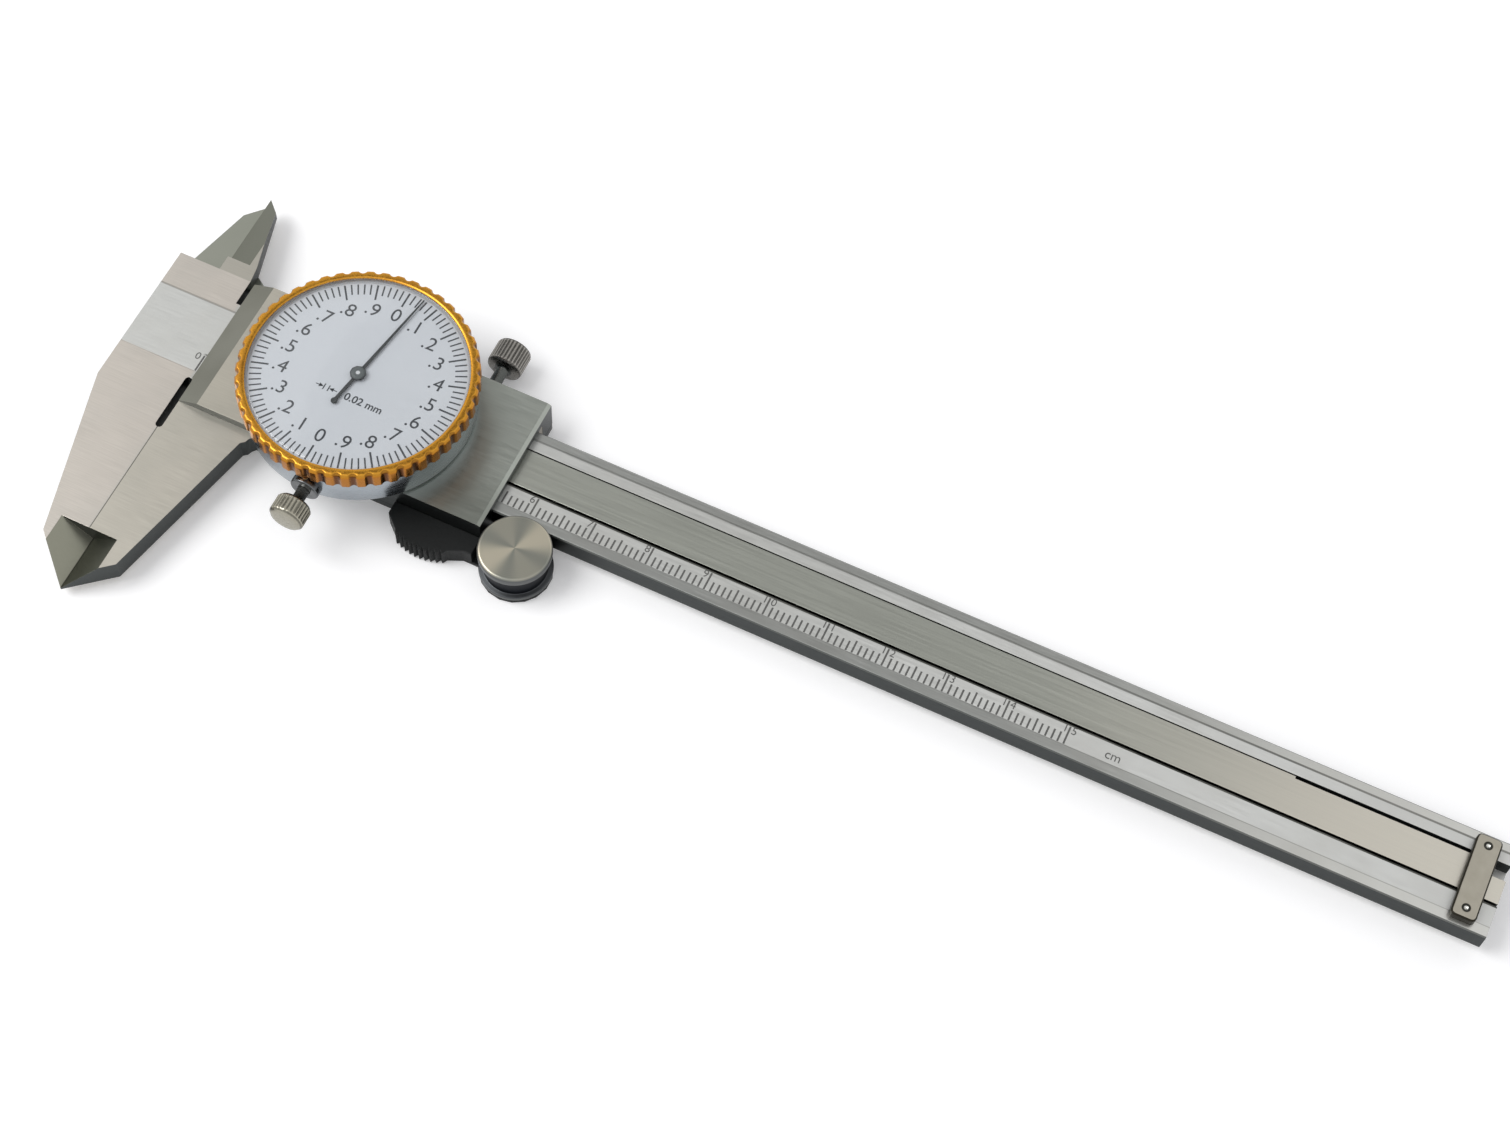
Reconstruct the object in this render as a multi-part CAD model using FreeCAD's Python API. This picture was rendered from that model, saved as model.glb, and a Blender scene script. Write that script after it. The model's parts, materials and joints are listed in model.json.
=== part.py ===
import FreeCAD, Part
import math
import os

# Dial caliper, 150 mm range, 0.02 mm reading, 2 mm to one turn of the pointer.
# X runs along the beam from the closed jaws, Y across it towards the inside jaws, Z out of the dial.
# The origin lies on the closed measuring faces, at the beam's lower edge and half its thickness.
# Lengths are millimetres.

# Beam, head and fixed jaws
BEAM_W = 16.0
BEAM_T = 4.0
BEAM_CHAMFER = 0.25
HEAD_LEFT = 13.6
HEAD_RISE = 4.7
JAW_DEPTH = 39.7
JAW_KNEE = 5.2
FIXED_CORNER_X = 6.2
FIXED_CORNER_Y = 33.4
MOVING_CORNER_X = 7.0
MOVING_CORNER_Y = 33.8
MOVING_ROOT_X = 13.7
ROOT_FILLET = 2.5
EDGE_START = 30.0
EDGE_WIDTH = 4.95
EDGE_DROP = 3.6
RELIEF_W = 1.2
RELIEF_LOW = 9.7
RELIEF_HIGH = 0.5

# Inside jaws
INSIDE_X = 6.8
INSIDE_TIP = 21.8
INSIDE_CROSS = 7.45
INSIDE_BEVEL_X = 2.3
INSIDE_FRONT_T = 2.6
INSIDE_EDGE = 0.2
INSIDE_ROOT_LEFT = 6.4
INSIDE_RIGHT_ROOT = 1.0
INSIDE_RIGHT_X = 4.1
INSIDE_RIGHT_Y = 19.0
INSIDE_LEFT_ROOT = 12.6
INSIDE_LEFT_X = 9.4
INSIDE_LEFT_Y = 17.2
INSIDE_MOVING_TIP = 20.0
INSIDE_LAP = 0.05

# Groove, rack and depth blade
GROOVE_BELOW_MIDDLE = 2.6
GROOVE_ABOVE_MIDDLE = 4.5
GROOVE_DEPTH = 2.8
RACK_PITCH = 0.625
RACK_T = 1.25
RACK_MARGIN = 2.0
RACK_PIN_R = 0.4
RACK_PIN_DEPTH = 0.7
RACK_PINS = 4
BLADE_LOW_GAP = 0.5
BLADE_HIGH_GAP = 0.1
BLADE_T = 1.2
BLADE_SINK = 0.15
BLADE_START = 36.0
BLADE_RELIEF_LENGTH = 33.9
BLADE_RELIEF = 0.4
BLADE_TIP_LENGTH = 5.0
BLADE_TIP_W = 4.0
BLADE_PIN_R = 0.6
BLADE_PIN_GRIP = 0.9

# Stop plate at the beam's end
STOP_W = 4.0
STOP_T = 1.5
STOP_EDGE = 0.9
STOP_CORNER = 0.8
STOP_PIN_R = 0.55
STOP_PIN_OUT = 0.9
STOP_TO_END = 2.3
STOP_PIN_DEPTH = 1.6

# Slider
TRAVEL = 156.8
STOP_GAP = 0.1
SLIDE_GAP = 0.03
SLIDER_LEFT = 0.3
SLIDER_RIGHT = 54.4
PLATE_T = 1.57
RAIL_LOW = 4.1
RAIL_HIGH = 4.5
READING_BEVEL = 3.8
END_CHAMFER = 0.6
GIB_T = 1.1
GIB_GAP = 0.02
GIB_BACK_GAP = 0.08
GIB_INSET = 0.6
GIB_SCREW_R = 0.8
GIB_SCREW_INSET = 9.0
GIB_SCREW_SINK = 0.3
BACK_T = 1.5
BACK_GAP = 0.1
BACK_INSET = 0.4

# Lock screw on the upper edge
LOCK_X = 43.3
LOCK_SHANK_R = 1.05
LOCK_HEAD_R = 3.0
LOCK_HEAD_LENGTH = 4.6
LOCK_NECK = 4.4
LOCK_TIP_GAP = 0.1

# Thumb rest and thumb wheel
REST_LEFT = 39.3
REST_DEPTH = 6.1
REST_T = 3.4
REST_TEETH = 10
REST_TOOTH = 0.9
REST_TOOTH_DEPTH = 0.6
REST_SHOULDER = 2.3
REST_ARM_LOW = 7.4
ARM_T = 0.7
WHEEL_X = 61.0
WHEEL_NECK_R = 5.1
WHEEL_R = 5.9
WHEEL_GAP = 0.02
WHEEL_TOP_T = 1.5
WHEEL_CHAMFER = 0.35
WHEEL_SCREW_R = 1.5
WHEEL_SCREW_HEAD_R = 2.3
WHEEL_SCREW_GRIP = 2.6

# Dial case and bezel
DIAL_X = 27.2
CASE_UNDER_BEZEL = 0.65
CASE_NECK_T = 1.53
CASE_FLOOR = 0.9
CASE_WALL = 5.35
CASE_FOOT = 0.5
NECK_STEP = 0.57
NECK_H = 1.45
BEZEL_GAP = 0.07
BEZEL_R = 19.15
BEZEL_H = 3.2
BEZEL_LIP_REACH = 0.49
BEZEL_LIP = 0.45
BEZEL_CROWN = 0.4
FLUTES = 48
FLUTE_CREST = 1.0
FLUTE_DEPTH = 0.45
DIAL_SINK = 1.1
DIAL_T = 0.3
DIAL_HOLE = 1.0
CRYSTAL_T = 0.6
CRYSTAL_DOME = 0.25
CRYSTAL_SKIRT = 0.3
RETAINER_T = 0.3
SNAP_T = 0.3
SNAP_UP = 0.57
SNAP_DEPTH = 0.38

# Bezel clamp
CLAMP_X = 28.0
CLAMP_UP = 2.9
CLAMP_BOSS_R = 2.4
CLAMP_BOSS_OUT = 1.25
CLAMP_SHANK_R = 1.0
CLAMP_TIP_R = 0.75
CLAMP_NECK = 2.45
CLAMP_HEAD_R = 2.9
CLAMP_HEAD_LENGTH = 3.6
CLAMP_PIN_R = 0.5
CLAMP_PAD_R = 1.0

# Movement
PINION_TEETH = 16
WHEEL_TEETH = 60
CENTRE_TEETH = 12
TRAIN_MODULE = 0.2
PRESSURE_ANGLE = 20.0
TOOTH_PLAY = 0.03
PINION_W = 0.95
WHEEL_T = 0.6
ARBOR_R = 0.6
PIVOT_R = 0.4
PIVOT_PLAY = 0.02
COLLAR_R = 1.0
BUSH_R = 1.5
BUSH_FLANGE_R = 2.2
BUSH_FLANGE = 0.5
BRIDGE_UP = 3.7
BRIDGE_T = 0.8
BRIDGE_W = 5.0
POST_R = 1.1
POST_REACH = 6.5
SPRING_TURNS = 4
SPRING_R = 3.6
SPRING_T = 0.14
SPRING_W = 0.6
COLLET_R = 1.0
STUD_R = 0.45

# Pointer
POINTER_SHORT = 0.68
POINTER_TAIL = 6.0
POINTER_W = 0.55
POINTER_T = 0.15
POINTER_UP = 0.3
POINTER_ANGLE = 9.4
HUB_R = 1.3
HUB_H = 0.4

# Screws
SCREW_R = 0.8
SCREW_HEAD_R = 1.5
SCREW_HEAD = 0.6
SCREW_LENGTH = 2.6
SCREW_SLOT = 0.3

# Flats of the round forms, by radius
SMALL_ROUND = 2.0
SMALL_SIDES = 10
MIDDLE_ROUND = 8.0
MIDDLE_SIDES = 18
LARGE_SIDES = 36

FRONT = BEAM_T / 2
REAR = -BEAM_T / 2
CLEAR_ALL = 3 * BEAM_W
PLATE_BOTTOM = FRONT + SLIDE_GAP
PLATE_TOP = PLATE_BOTTOM + PLATE_T
RAIL_BOTTOM = REAR - BACK_GAP
SLIDER_BACK = RAIL_BOTTOM - BACK_T
DIAL_Y = BEAM_W / 2
RAIL_INNER_LOW = -2 * GIB_GAP
GIB_LOW = BEAM_W + GIB_GAP
RAIL_INNER_HIGH = GIB_LOW + GIB_T + GIB_BACK_GAP
SLIDER_TOP = BEAM_W + RAIL_HIGH
HEAD_TOP = BEAM_W + HEAD_RISE
RELIEF_HALF = RELIEF_W / 2
STOP_X = SLIDER_RIGHT + TRAVEL + STOP_GAP
BEAM_END = STOP_X + STOP_W + STOP_TO_END
GROOVE_LOW = DIAL_Y - GROOVE_BELOW_MIDDLE
GROOVE_HIGH = DIAL_Y + GROOVE_ABOVE_MIDDLE
BLADE_LOW = GROOVE_LOW + BLADE_LOW_GAP
BLADE_HIGH = GROOVE_HIGH - BLADE_HIGH_GAP
FLOOR_TOP = PLATE_TOP + CASE_FLOOR
SHOULDER = PLATE_TOP + CASE_WALL
NECK_TOP = SHOULDER + NECK_H
BEZEL_BOTTOM = SHOULDER + BEZEL_GAP
BEZEL_TOP = BEZEL_BOTTOM + BEZEL_H
CASE_R = BEZEL_R - CASE_UNDER_BEZEL
NECK_R = CASE_R - NECK_STEP
CASE_BORE = NECK_R - CASE_NECK_T
BEZEL_BORE = (NECK_R + BEZEL_GAP) / math.cos(math.pi / LARGE_SIDES)
BEZEL_LIP_R = BEZEL_BORE - BEZEL_LIP_REACH
POINTER_REACH = BEZEL_LIP_R - POINTER_SHORT
DIAL_TOP = BEZEL_TOP - DIAL_SINK
CRYSTAL_BASE = DIAL_TOP + SLIDE_GAP
PINION_R = RACK_PITCH * PINION_TEETH / (2 * math.pi)
RACK_MODULE = RACK_PITCH / math.pi
TRAIN_REACH = TRAIN_MODULE * (WHEEL_TEETH + CENTRE_TEETH) / 2
DRIVE_X = DIAL_X - TRAIN_REACH
TAKE_UP_X = DIAL_X + TRAIN_REACH
RACK_LINE = DIAL_Y + PINION_R
RACK_BOTTOM = FRONT - GROOVE_DEPTH
RACK_TOP = RACK_BOTTOM + RACK_T
PINION_BOTTOM = RACK_BOTTOM + (RACK_T - PINION_W) / 2
BUSH_TOP = FLOOR_TOP + BUSH_FLANGE
LOW_WHEEL = BUSH_TOP + 2 * BEZEL_GAP
HIGH_WHEEL = LOW_WHEEL + WHEEL_T + 2 * BEZEL_GAP
BRIDGE_BOTTOM = FLOOR_TOP + BRIDGE_UP
BRIDGE_TOP = BRIDGE_BOTTOM + BRIDGE_T
SPRING_BOTTOM = BRIDGE_BOTTOM - SPRING_W - 2 * BEZEL_GAP
CLAMP_Z = PLATE_TOP + CLAMP_UP
BOSS_END = DIAL_Y - CASE_R - CLAMP_BOSS_OUT
WHEEL_Y = -WHEEL_NECK_R - WHEEL_GAP
ARM_TOP = SLIDER_BACK + ARM_T

V = FreeCAD.Vector


def box(x0, x1, y0, y1, z0, z1):
    return Part.makeBox(x1 - x0, y1 - y0, z1 - z0, V(x0, y0, z0))


def prism(points, z0, z1):
    corners = [V(x, y, z0) for x, y in points]
    face = Part.Face(Part.makePolygon(corners + corners[:1]))
    return face.extrude(V(0, 0, z1 - z0))


def prism_along_y(points, y0, y1):
    corners = [V(x, y0, z) for x, z in points]
    face = Part.Face(Part.makePolygon(corners + corners[:1]))
    return face.extrude(V(0, y1 - y0, 0))


def sides_for(r):
    """Number of flats that a round form of this radius is built from."""
    if r < SMALL_ROUND:
        return SMALL_SIDES
    return MIDDLE_SIDES if r < MIDDLE_ROUND else LARGE_SIDES


def circle_points(x, y, r, sides):
    angles = [2 * math.pi * (k + 0.5) / sides for k in range(sides)]
    return [(x + r * math.cos(a), y + r * math.sin(a)) for a in angles]


def disc(x, y, r, z0, z1, sides=0):
    return prism(circle_points(x, y, r, sides or sides_for(r)), z0, z1)


def bore(x, y, r, z0, z1):
    """Hole whose flats lie at the radius, so that a round shaft of that radius turns in it."""
    sides = sides_for(r)
    return disc(x, y, r / math.cos(math.pi / sides), z0, z1, sides)


def turn_to_y(shape, x, z):
    """Moves a shape made round the Z axis onto an axis along Y through (x, z)."""
    shape.rotate(V(0, 0, 0), V(1, 0, 0), -90)
    shape.translate(V(x, 0, z))
    return shape


def bore_y(x, z, r, y0, y1):
    return turn_to_y(bore(0, 0, r, y0, y1), x, z)


def rod_y(x, z, r, y0, y1):
    return turn_to_y(disc(0, 0, r, y0, y1), x, z)


def shaft(x, y, r, z0, z1):
    """Truly round length of an arbor or screw, where it turns in its hole."""
    return Part.makeCylinder(r, z1 - z0, V(x, y, z0))


def shaft_y(x, z, r, y0, y1):
    return turn_to_y(shaft(0, 0, r, y0, y1), x, z)


def ring(x, y, r_in, r_out, z0, z1):
    sides = sides_for(r_out)
    return disc(x, y, r_out, z0, z1, sides).cut(disc(x, y, r_in, z0, z1, sides))


def flat_disc(x, y, r, z, sides):
    corners = [V(px, py, z) for px, py in circle_points(x, y, r, sides)]
    return Part.Face(Part.makePolygon(corners + corners[:1]))


def turned(x, y, profile, sides=0):
    """Turned form: every straight run of the profile gives a ring of flats round the axis."""
    count = sides or sides_for(max(r for r, z in profile))
    faces = []
    for (r0, z0), (r1, z1) in zip(profile, profile[1:] + profile[:1]):
        if r0 == 0 and r1 == 0:
            continue
        if z0 == z1:
            face = flat_disc(x, y, max(r0, r1), z0, count)
            if min(r0, r1) > 0:
                face = face.cut(flat_disc(x, y, min(r0, r1), z0, count))
            faces += face.Faces
            continue
        low = circle_points(x, y, r0, count)
        high = circle_points(x, y, r1, count)
        for k in range(count):
            n = (k + 1) % count
            corners = [V(low[k][0], low[k][1], z0)]
            if r0 > 0:
                corners.append(V(low[n][0], low[n][1], z0))
            corners.append(V(high[n][0], high[n][1], z1))
            if r1 > 0:
                corners.append(V(high[k][0], high[k][1], z1))
            faces.append(Part.Face(Part.makePolygon(corners + corners[:1])))
    shell = Part.makeShell(faces)
    shell.sewShape()
    solid = Part.makeSolid(shell)
    if solid.Volume < 0:
        solid.reverse()
    return solid


def turned_along_y(x, z, profile):
    return turn_to_y(turned(0, 0, profile), x, z)


def slot_y(x, y0, y1, width, z0, z1):
    r = width / 2
    middle = box(x - r, x + r, y0 + r, y1 - r, z0, z1)
    return middle.fuse([disc(x, y0 + r, r, z0, z1), disc(x, y1 - r, r, z0, z1)])


def rounded_plate(x0, x1, y0, y1, z0, z1, corner):
    """Plate whose four corners are rounded in three flats each."""
    points = []
    for cx, cy, turn in ((x1 - corner, y1 - corner, 0), (x0 + corner, y1 - corner, 1),
                         (x0 + corner, y0 + corner, 2), (x1 - corner, y0 + corner, 3)):
        for k in range(4):
            a = math.pi / 2 * (turn + k / 3)
            points.append((cx + corner * math.cos(a), cy + corner * math.sin(a)))
    return prism(points, z0, z1)


def one_solid(shape):
    return shape.removeSplitter()


def involute(angle):
    return math.tan(angle) - angle


def tooth_outline(teeth, module, phase):
    """Spur gear outline with one tooth centred on the phase angle: involute flanks from root to tip,
    or on a fine wheel straight flanks that meet at the bottom of each gap."""
    pitch_r = module * teeth / 2
    base_r = pitch_r * math.cos(math.radians(PRESSURE_ANGLE))
    root_r = pitch_r - 1.2 * module
    tip_r = pitch_r + 0.9 * module
    half_pitch = math.pi / (2 * teeth) - TOOTH_PLAY / (2 * pitch_r)
    half_base = half_pitch + involute(math.radians(PRESSURE_ANGLE))

    def half_angle(r):
        if r <= base_r:
            return half_base
        return half_base - involute(math.acos(base_r / r))

    fine = teeth > 40
    radii = [tip_r] if fine else [root_r, pitch_r, tip_r]
    outline = []
    for k in range(teeth):
        centre = phase + 2 * math.pi * k / teeth
        rising = [(r, centre - half_angle(r)) for r in radii]
        falling = [(r, centre + half_angle(r)) for r in reversed(radii)]
        gap = [(pitch_r - 2 * module, centre + math.pi / teeth)] if fine else []
        outline += [(r * math.cos(a), r * math.sin(a)) for r, a in rising + falling + gap]
    return outline


def gear(x, y, teeth, module, phase, z0, z1):
    outline = [(x + dx, y + dy) for dx, dy in tooth_outline(teeth, module, phase)]
    return prism(outline, z0, z1)


def countersunk_screw(x, y, z, up):
    """Slotted countersunk screw whose head is flush with z; up is +1 for a head that faces +Z."""
    profile = [(0, z), (SCREW_HEAD_R, z), (SCREW_R, z - up * SCREW_HEAD),
               (SCREW_R, z - up * SCREW_LENGTH), (0, z - up * SCREW_LENGTH)]
    screw = turned(x, y, profile)
    depth = z - up * SCREW_SLOT
    half = SCREW_SLOT / 2
    groove = box(x - SCREW_HEAD_R, x + SCREW_HEAD_R, y - half, y + half, min(z, depth), max(z, depth))
    return screw.cut(groove)


def countersink(x, y, z, up):
    """Hole that takes the same screw, of the same size."""
    end = z - up * (SCREW_LENGTH + SLIDE_GAP)
    profile = [(0, z), (SCREW_HEAD_R, z), (SCREW_R, z - up * SCREW_HEAD), (SCREW_R, end), (0, end)]
    return turned(x, y, profile)


def measuring_edge(x_outer, x_edge, y0, y1, drop):
    """Wedge cut away in front of a jaw, so that it thins to a knife edge at x_edge."""
    over = x_edge + (x_edge - x_outer)
    slope_end = FRONT - 2 * drop
    return prism_along_y([(x_outer, FRONT), (over, slope_end), (over, FRONT)], y0, y1)


def relief_slot():
    return slot_y(0, -RELIEF_LOW, RELIEF_HIGH, RELIEF_W, -CLEAR_ALL, CLEAR_ALL)


def inside_cross_y():
    return BEAM_W + INSIDE_CROSS


def inside_right_edge():
    return [(-INSIDE_RIGHT_ROOT, inside_cross_y()), (-INSIDE_RIGHT_X, BEAM_W + INSIDE_RIGHT_Y)]


# Beam body

def make_beam():
    head = prism([(-HEAD_LEFT, HEAD_TOP), (-HEAD_LEFT, -JAW_KNEE), (-FIXED_CORNER_X, -FIXED_CORNER_Y),
                  (0, -JAW_DEPTH), (0, 0), (BEAM_W, 0), (BEAM_W, BEAM_W), (-RELIEF_HALF, BEAM_W),
                  (-RELIEF_HALF, HEAD_TOP)], REAR, FRONT)
    bar = box(0, BEAM_END, 0, BEAM_W, REAR, FRONT)
    long_edges = [e for e in bar.Edges if abs(e.tangentAt(e.FirstParameter).x) > 0.9]
    bar = bar.makeChamfer(BEAM_CHAMFER, long_edges)
    beam = one_solid(head.fuse(bar))
    beam = beam.cut(relief_slot())
    beam = beam.fuse(fixed_inside_jaw())
    knife = measuring_edge(-EDGE_WIDTH, 0, -JAW_DEPTH - RELIEF_W, -EDGE_START, EDGE_DROP)
    start = rack_span()[0] - 2 * RELIEF_W
    groove = box(start, BEAM_END + BEAM_W, GROOVE_LOW, GROOVE_HIGH, RACK_BOTTOM, FRONT)
    holes = [disc(x, y, RACK_PIN_R, RACK_BOTTOM - RACK_PIN_DEPTH, FRONT) for x, y in rack_pin_places()]
    holes += [disc(x, y, STOP_PIN_R, FRONT - STOP_PIN_DEPTH, FRONT) for x, y in stop_pin_places()]
    return one_solid(beam.cut([knife, groove] + holes))


def fixed_inside_jaw():
    """Front jaw; the moving one passes behind it, so both lie on their own side of one plane."""
    cross = inside_cross_y()
    split = FRONT - INSIDE_FRONT_T
    root = prism([(-INSIDE_ROOT_LEFT, HEAD_TOP - RELIEF_W), (-RELIEF_HALF, HEAD_TOP - RELIEF_W),
                  (-RELIEF_HALF, HEAD_TOP), (-INSIDE_RIGHT_ROOT, cross), (-INSIDE_ROOT_LEFT, cross)],
                 split, FRONT)
    blade = prism([(-INSIDE_X, cross)] + inside_right_edge() + [(-INSIDE_X, BEAM_W + INSIDE_TIP)],
                  split, FRONT)
    knife = measuring_edge(-INSIDE_BEVEL_X, -INSIDE_X, cross, BEAM_W + INSIDE_TIP + RELIEF_W,
                           INSIDE_FRONT_T - INSIDE_EDGE)
    return root.fuse(blade.cut(knife))


def rack_span():
    return DRIVE_X - RACK_MARGIN, DRIVE_X + TRAVEL + RACK_MARGIN


def rack_pin_places():
    start, end = rack_span()
    y = (RACK_LINE + GROOVE_HIGH) / 2
    step = (end - start) / RACK_PINS
    return [(start + step * (k + 0.5), y) for k in range(RACK_PINS)]


def make_rack():
    """Strip whose teeth face the beam's lower edge; one tooth is centred on the pinion at rest.
    The gaps run to a point behind the reach of the pinion's teeth."""
    start, end = rack_span()
    half = RACK_PITCH / 4 - TOOTH_PLAY / 2
    slope = math.tan(math.radians(PRESSURE_ANGLE))
    tip_y = RACK_LINE - 0.9 * RACK_MODULE
    tip_half = half - (RACK_LINE - tip_y) * slope
    gap_y = RACK_LINE + 2.3 * RACK_MODULE
    before = int((DRIVE_X - start) / RACK_PITCH)
    after = int((end - DRIVE_X) / RACK_PITCH)
    outline = [(end, gap_y), (end, GROOVE_HIGH), (start, GROOVE_HIGH), (start, gap_y)]
    for k in range(-before + 1, after):
        x = DRIVE_X + k * RACK_PITCH
        outline += [(x - RACK_PITCH / 2, gap_y), (x - tip_half, tip_y), (x + tip_half, tip_y)]
    outline.append((DRIVE_X + (after - 0.5) * RACK_PITCH, gap_y))
    strip = prism(outline, RACK_BOTTOM, RACK_TOP)
    return strip.cut([disc(x, y, RACK_PIN_R, RACK_BOTTOM, RACK_TOP) for x, y in rack_pin_places()])


def make_rack_pins():
    return [disc(x, y, RACK_PIN_R, RACK_BOTTOM - RACK_PIN_DEPTH, RACK_TOP) for x, y in rack_pin_places()]


def stop_pin_places():
    x = STOP_X + STOP_W / 2
    high = GROOVE_HIGH + STOP_PIN_OUT
    return [(x, BEAM_W - high), (x, high)]


def make_stop_plate():
    plate = rounded_plate(STOP_X, STOP_X + STOP_W, STOP_EDGE, BEAM_W - STOP_EDGE, FRONT,
                          FRONT + STOP_T, STOP_CORNER)
    top = [e for e in plate.Edges if min(v.Z for v in e.Vertexes) > FRONT + STOP_T / 2]
    plate = plate.makeChamfer(STOP_T / 6, top)
    return plate.cut([disc(x, y, STOP_PIN_R, FRONT, FRONT + STOP_T) for x, y in stop_pin_places()])


def make_stop_plate_pins():
    pins = []
    for x, y in stop_pin_places():
        top = FRONT + STOP_T
        profile = [(0, FRONT - STOP_PIN_DEPTH), (STOP_PIN_R, FRONT - STOP_PIN_DEPTH), (STOP_PIN_R, top),
                   (STOP_PIN_R * 0.7, top), (0, top - STOP_PIN_R * 0.5)]
        pins.append(turned(x, y, profile))
    return pins


# Slider body

def make_slider_frame():
    plate = box(SLIDER_LEFT, SLIDER_RIGHT, -RAIL_LOW, SLIDER_TOP, PLATE_BOTTOM, PLATE_TOP)
    bevel = prism_along_y([(SLIDER_LEFT, PLATE_BOTTOM), (SLIDER_LEFT, PLATE_TOP),
                           (SLIDER_LEFT + READING_BEVEL, PLATE_TOP)], -RAIL_LOW, SLIDER_TOP)
    chamfer = prism_along_y([(SLIDER_RIGHT - END_CHAMFER, PLATE_TOP), (SLIDER_RIGHT, PLATE_TOP),
                             (SLIDER_RIGHT, PLATE_TOP - END_CHAMFER / 2)], -RAIL_LOW, SLIDER_TOP)
    plate = plate.cut([bevel, chamfer])
    low_rail = box(RELIEF_HALF, SLIDER_RIGHT, -RAIL_LOW, RAIL_INNER_LOW, RAIL_BOTTOM, PLATE_BOTTOM)
    high_rail = box(RELIEF_HALF, SLIDER_RIGHT, RAIL_INNER_HIGH, SLIDER_TOP, RAIL_BOTTOM, PLATE_BOTTOM)
    frame = plate.fuse([low_rail, high_rail, moving_outside_jaw(), moving_inside_jaw()])
    cuts = [relief_slot(), disc(DRIVE_X, DIAL_Y, BUSH_R, REAR, PLATE_TOP),
            bore_y(LOCK_X, 0, LOCK_SHANK_R, RAIL_INNER_HIGH - RELIEF_W, SLIDER_TOP + RELIEF_W)]
    cuts += [rod_y(x, 0, GIB_SCREW_R, RAIL_INNER_HIGH, SLIDER_TOP) for x in gib_screw_places()]
    cuts += [countersink(x, y, SLIDER_BACK, -1) for x, y in back_screw_places() + rest_screw_places()]
    cuts += [countersink(x, y, FLOOR_TOP, 1) for x, y in case_screw_places()]
    cuts += [disc(x, y, BLADE_PIN_R, PLATE_BOTTOM, PLATE_BOTTOM + BLADE_PIN_GRIP)
             for x, y in blade_pin_places()]
    return one_solid(frame.cut(cuts))


def moving_outside_jaw():
    jaw = prism([(0, -JAW_DEPTH), (MOVING_CORNER_X, -MOVING_CORNER_Y), (MOVING_ROOT_X, -RAIL_LOW),
                 (MOVING_ROOT_X, RAIL_INNER_LOW), (RELIEF_HALF, RAIL_INNER_LOW),
                 (RELIEF_HALF, -RAIL_LOW), (0, -RAIL_LOW)], REAR, FRONT)
    knife = measuring_edge(EDGE_WIDTH, 0, -JAW_DEPTH - RELIEF_W, -EDGE_START, EDGE_DROP)
    return jaw.cut(knife).fuse(root_web())


def root_web():
    """Concave fillet between the jaw's outer edge and the lower rail."""
    slope = (MOVING_ROOT_X - MOVING_CORNER_X) / (MOVING_CORNER_Y - RAIL_LOW)
    y = -RAIL_LOW
    web = prism([(MOVING_ROOT_X - slope * ROOT_FILLET, y - ROOT_FILLET), (MOVING_ROOT_X + ROOT_FILLET, y),
                 (MOVING_ROOT_X, y)], REAR, FRONT)
    hollow = disc(MOVING_ROOT_X + ROOT_FILLET, y - ROOT_FILLET, ROOT_FILLET, REAR, FRONT)
    return web.cut(hollow)


def moving_inside_jaw():
    cross = inside_cross_y() - INSIDE_LAP
    split = FRONT - INSIDE_FRONT_T - INSIDE_LAP
    head_top = HEAD_TOP + INSIDE_LAP
    blade = prism([(-INSIDE_LEFT_ROOT, head_top), (RELIEF_HALF, head_top),
                   (RELIEF_HALF, RAIL_INNER_HIGH), (INSIDE_X, RAIL_INNER_HIGH), (INSIDE_X, SLIDER_TOP),
                   (INSIDE_X / 2, SLIDER_TOP), (-INSIDE_RIGHT_ROOT, cross), (-INSIDE_X, cross),
                   (-INSIDE_X, BEAM_W + INSIDE_MOVING_TIP),
                   (-INSIDE_LEFT_X, BEAM_W + INSIDE_LEFT_Y)], REAR, split)
    knife = prism_along_y([(-INSIDE_X, split - INSIDE_EDGE), (-INSIDE_X, REAR),
                           (-INSIDE_X - EDGE_DROP / 2, REAR)], cross, BEAM_W + INSIDE_TIP)
    return blade.cut(knife)


def make_gib_strip():
    return box(SLIDER_LEFT + GIB_INSET, SLIDER_RIGHT, GIB_LOW, GIB_LOW + GIB_T,
               RAIL_BOTTOM + SLIDE_GAP, PLATE_BOTTOM - SLIDE_GAP)


def gib_screw_places():
    return [SLIDER_LEFT + GIB_SCREW_INSET, SLIDER_RIGHT - GIB_SCREW_INSET / 2]


def make_gib_set_screws():
    screws = []
    for x in gib_screw_places():
        screw = rod_y(x, 0, GIB_SCREW_R, GIB_LOW + GIB_T, SLIDER_TOP - GIB_SCREW_SINK)
        half = SCREW_SLOT / 2
        screws.append(screw.cut(box(x - GIB_SCREW_R, x + GIB_SCREW_R, SLIDER_TOP - 2 * GIB_SCREW_SINK,
                                    SLIDER_TOP, -half, half)))
    return screws


def back_screw_places():
    low_y = (RAIL_INNER_LOW - RAIL_LOW) / 2
    high_y = (RAIL_INNER_HIGH + SLIDER_TOP) / 2
    left = SLIDER_LEFT + 2 * SCREW_HEAD_R
    right = SLIDER_RIGHT - 2 * SCREW_HEAD_R
    middle = REST_LEFT - 2 * SCREW_HEAD_R
    return [(left, low_y), (middle, low_y), (left, high_y), (right, high_y)]


def rest_screw_places():
    low_y = (RAIL_INNER_LOW - RAIL_LOW) / 2
    return [(REST_LEFT + 2 * SCREW_HEAD_R, low_y), (SLIDER_RIGHT - 2 * SCREW_HEAD_R, low_y)]


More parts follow.
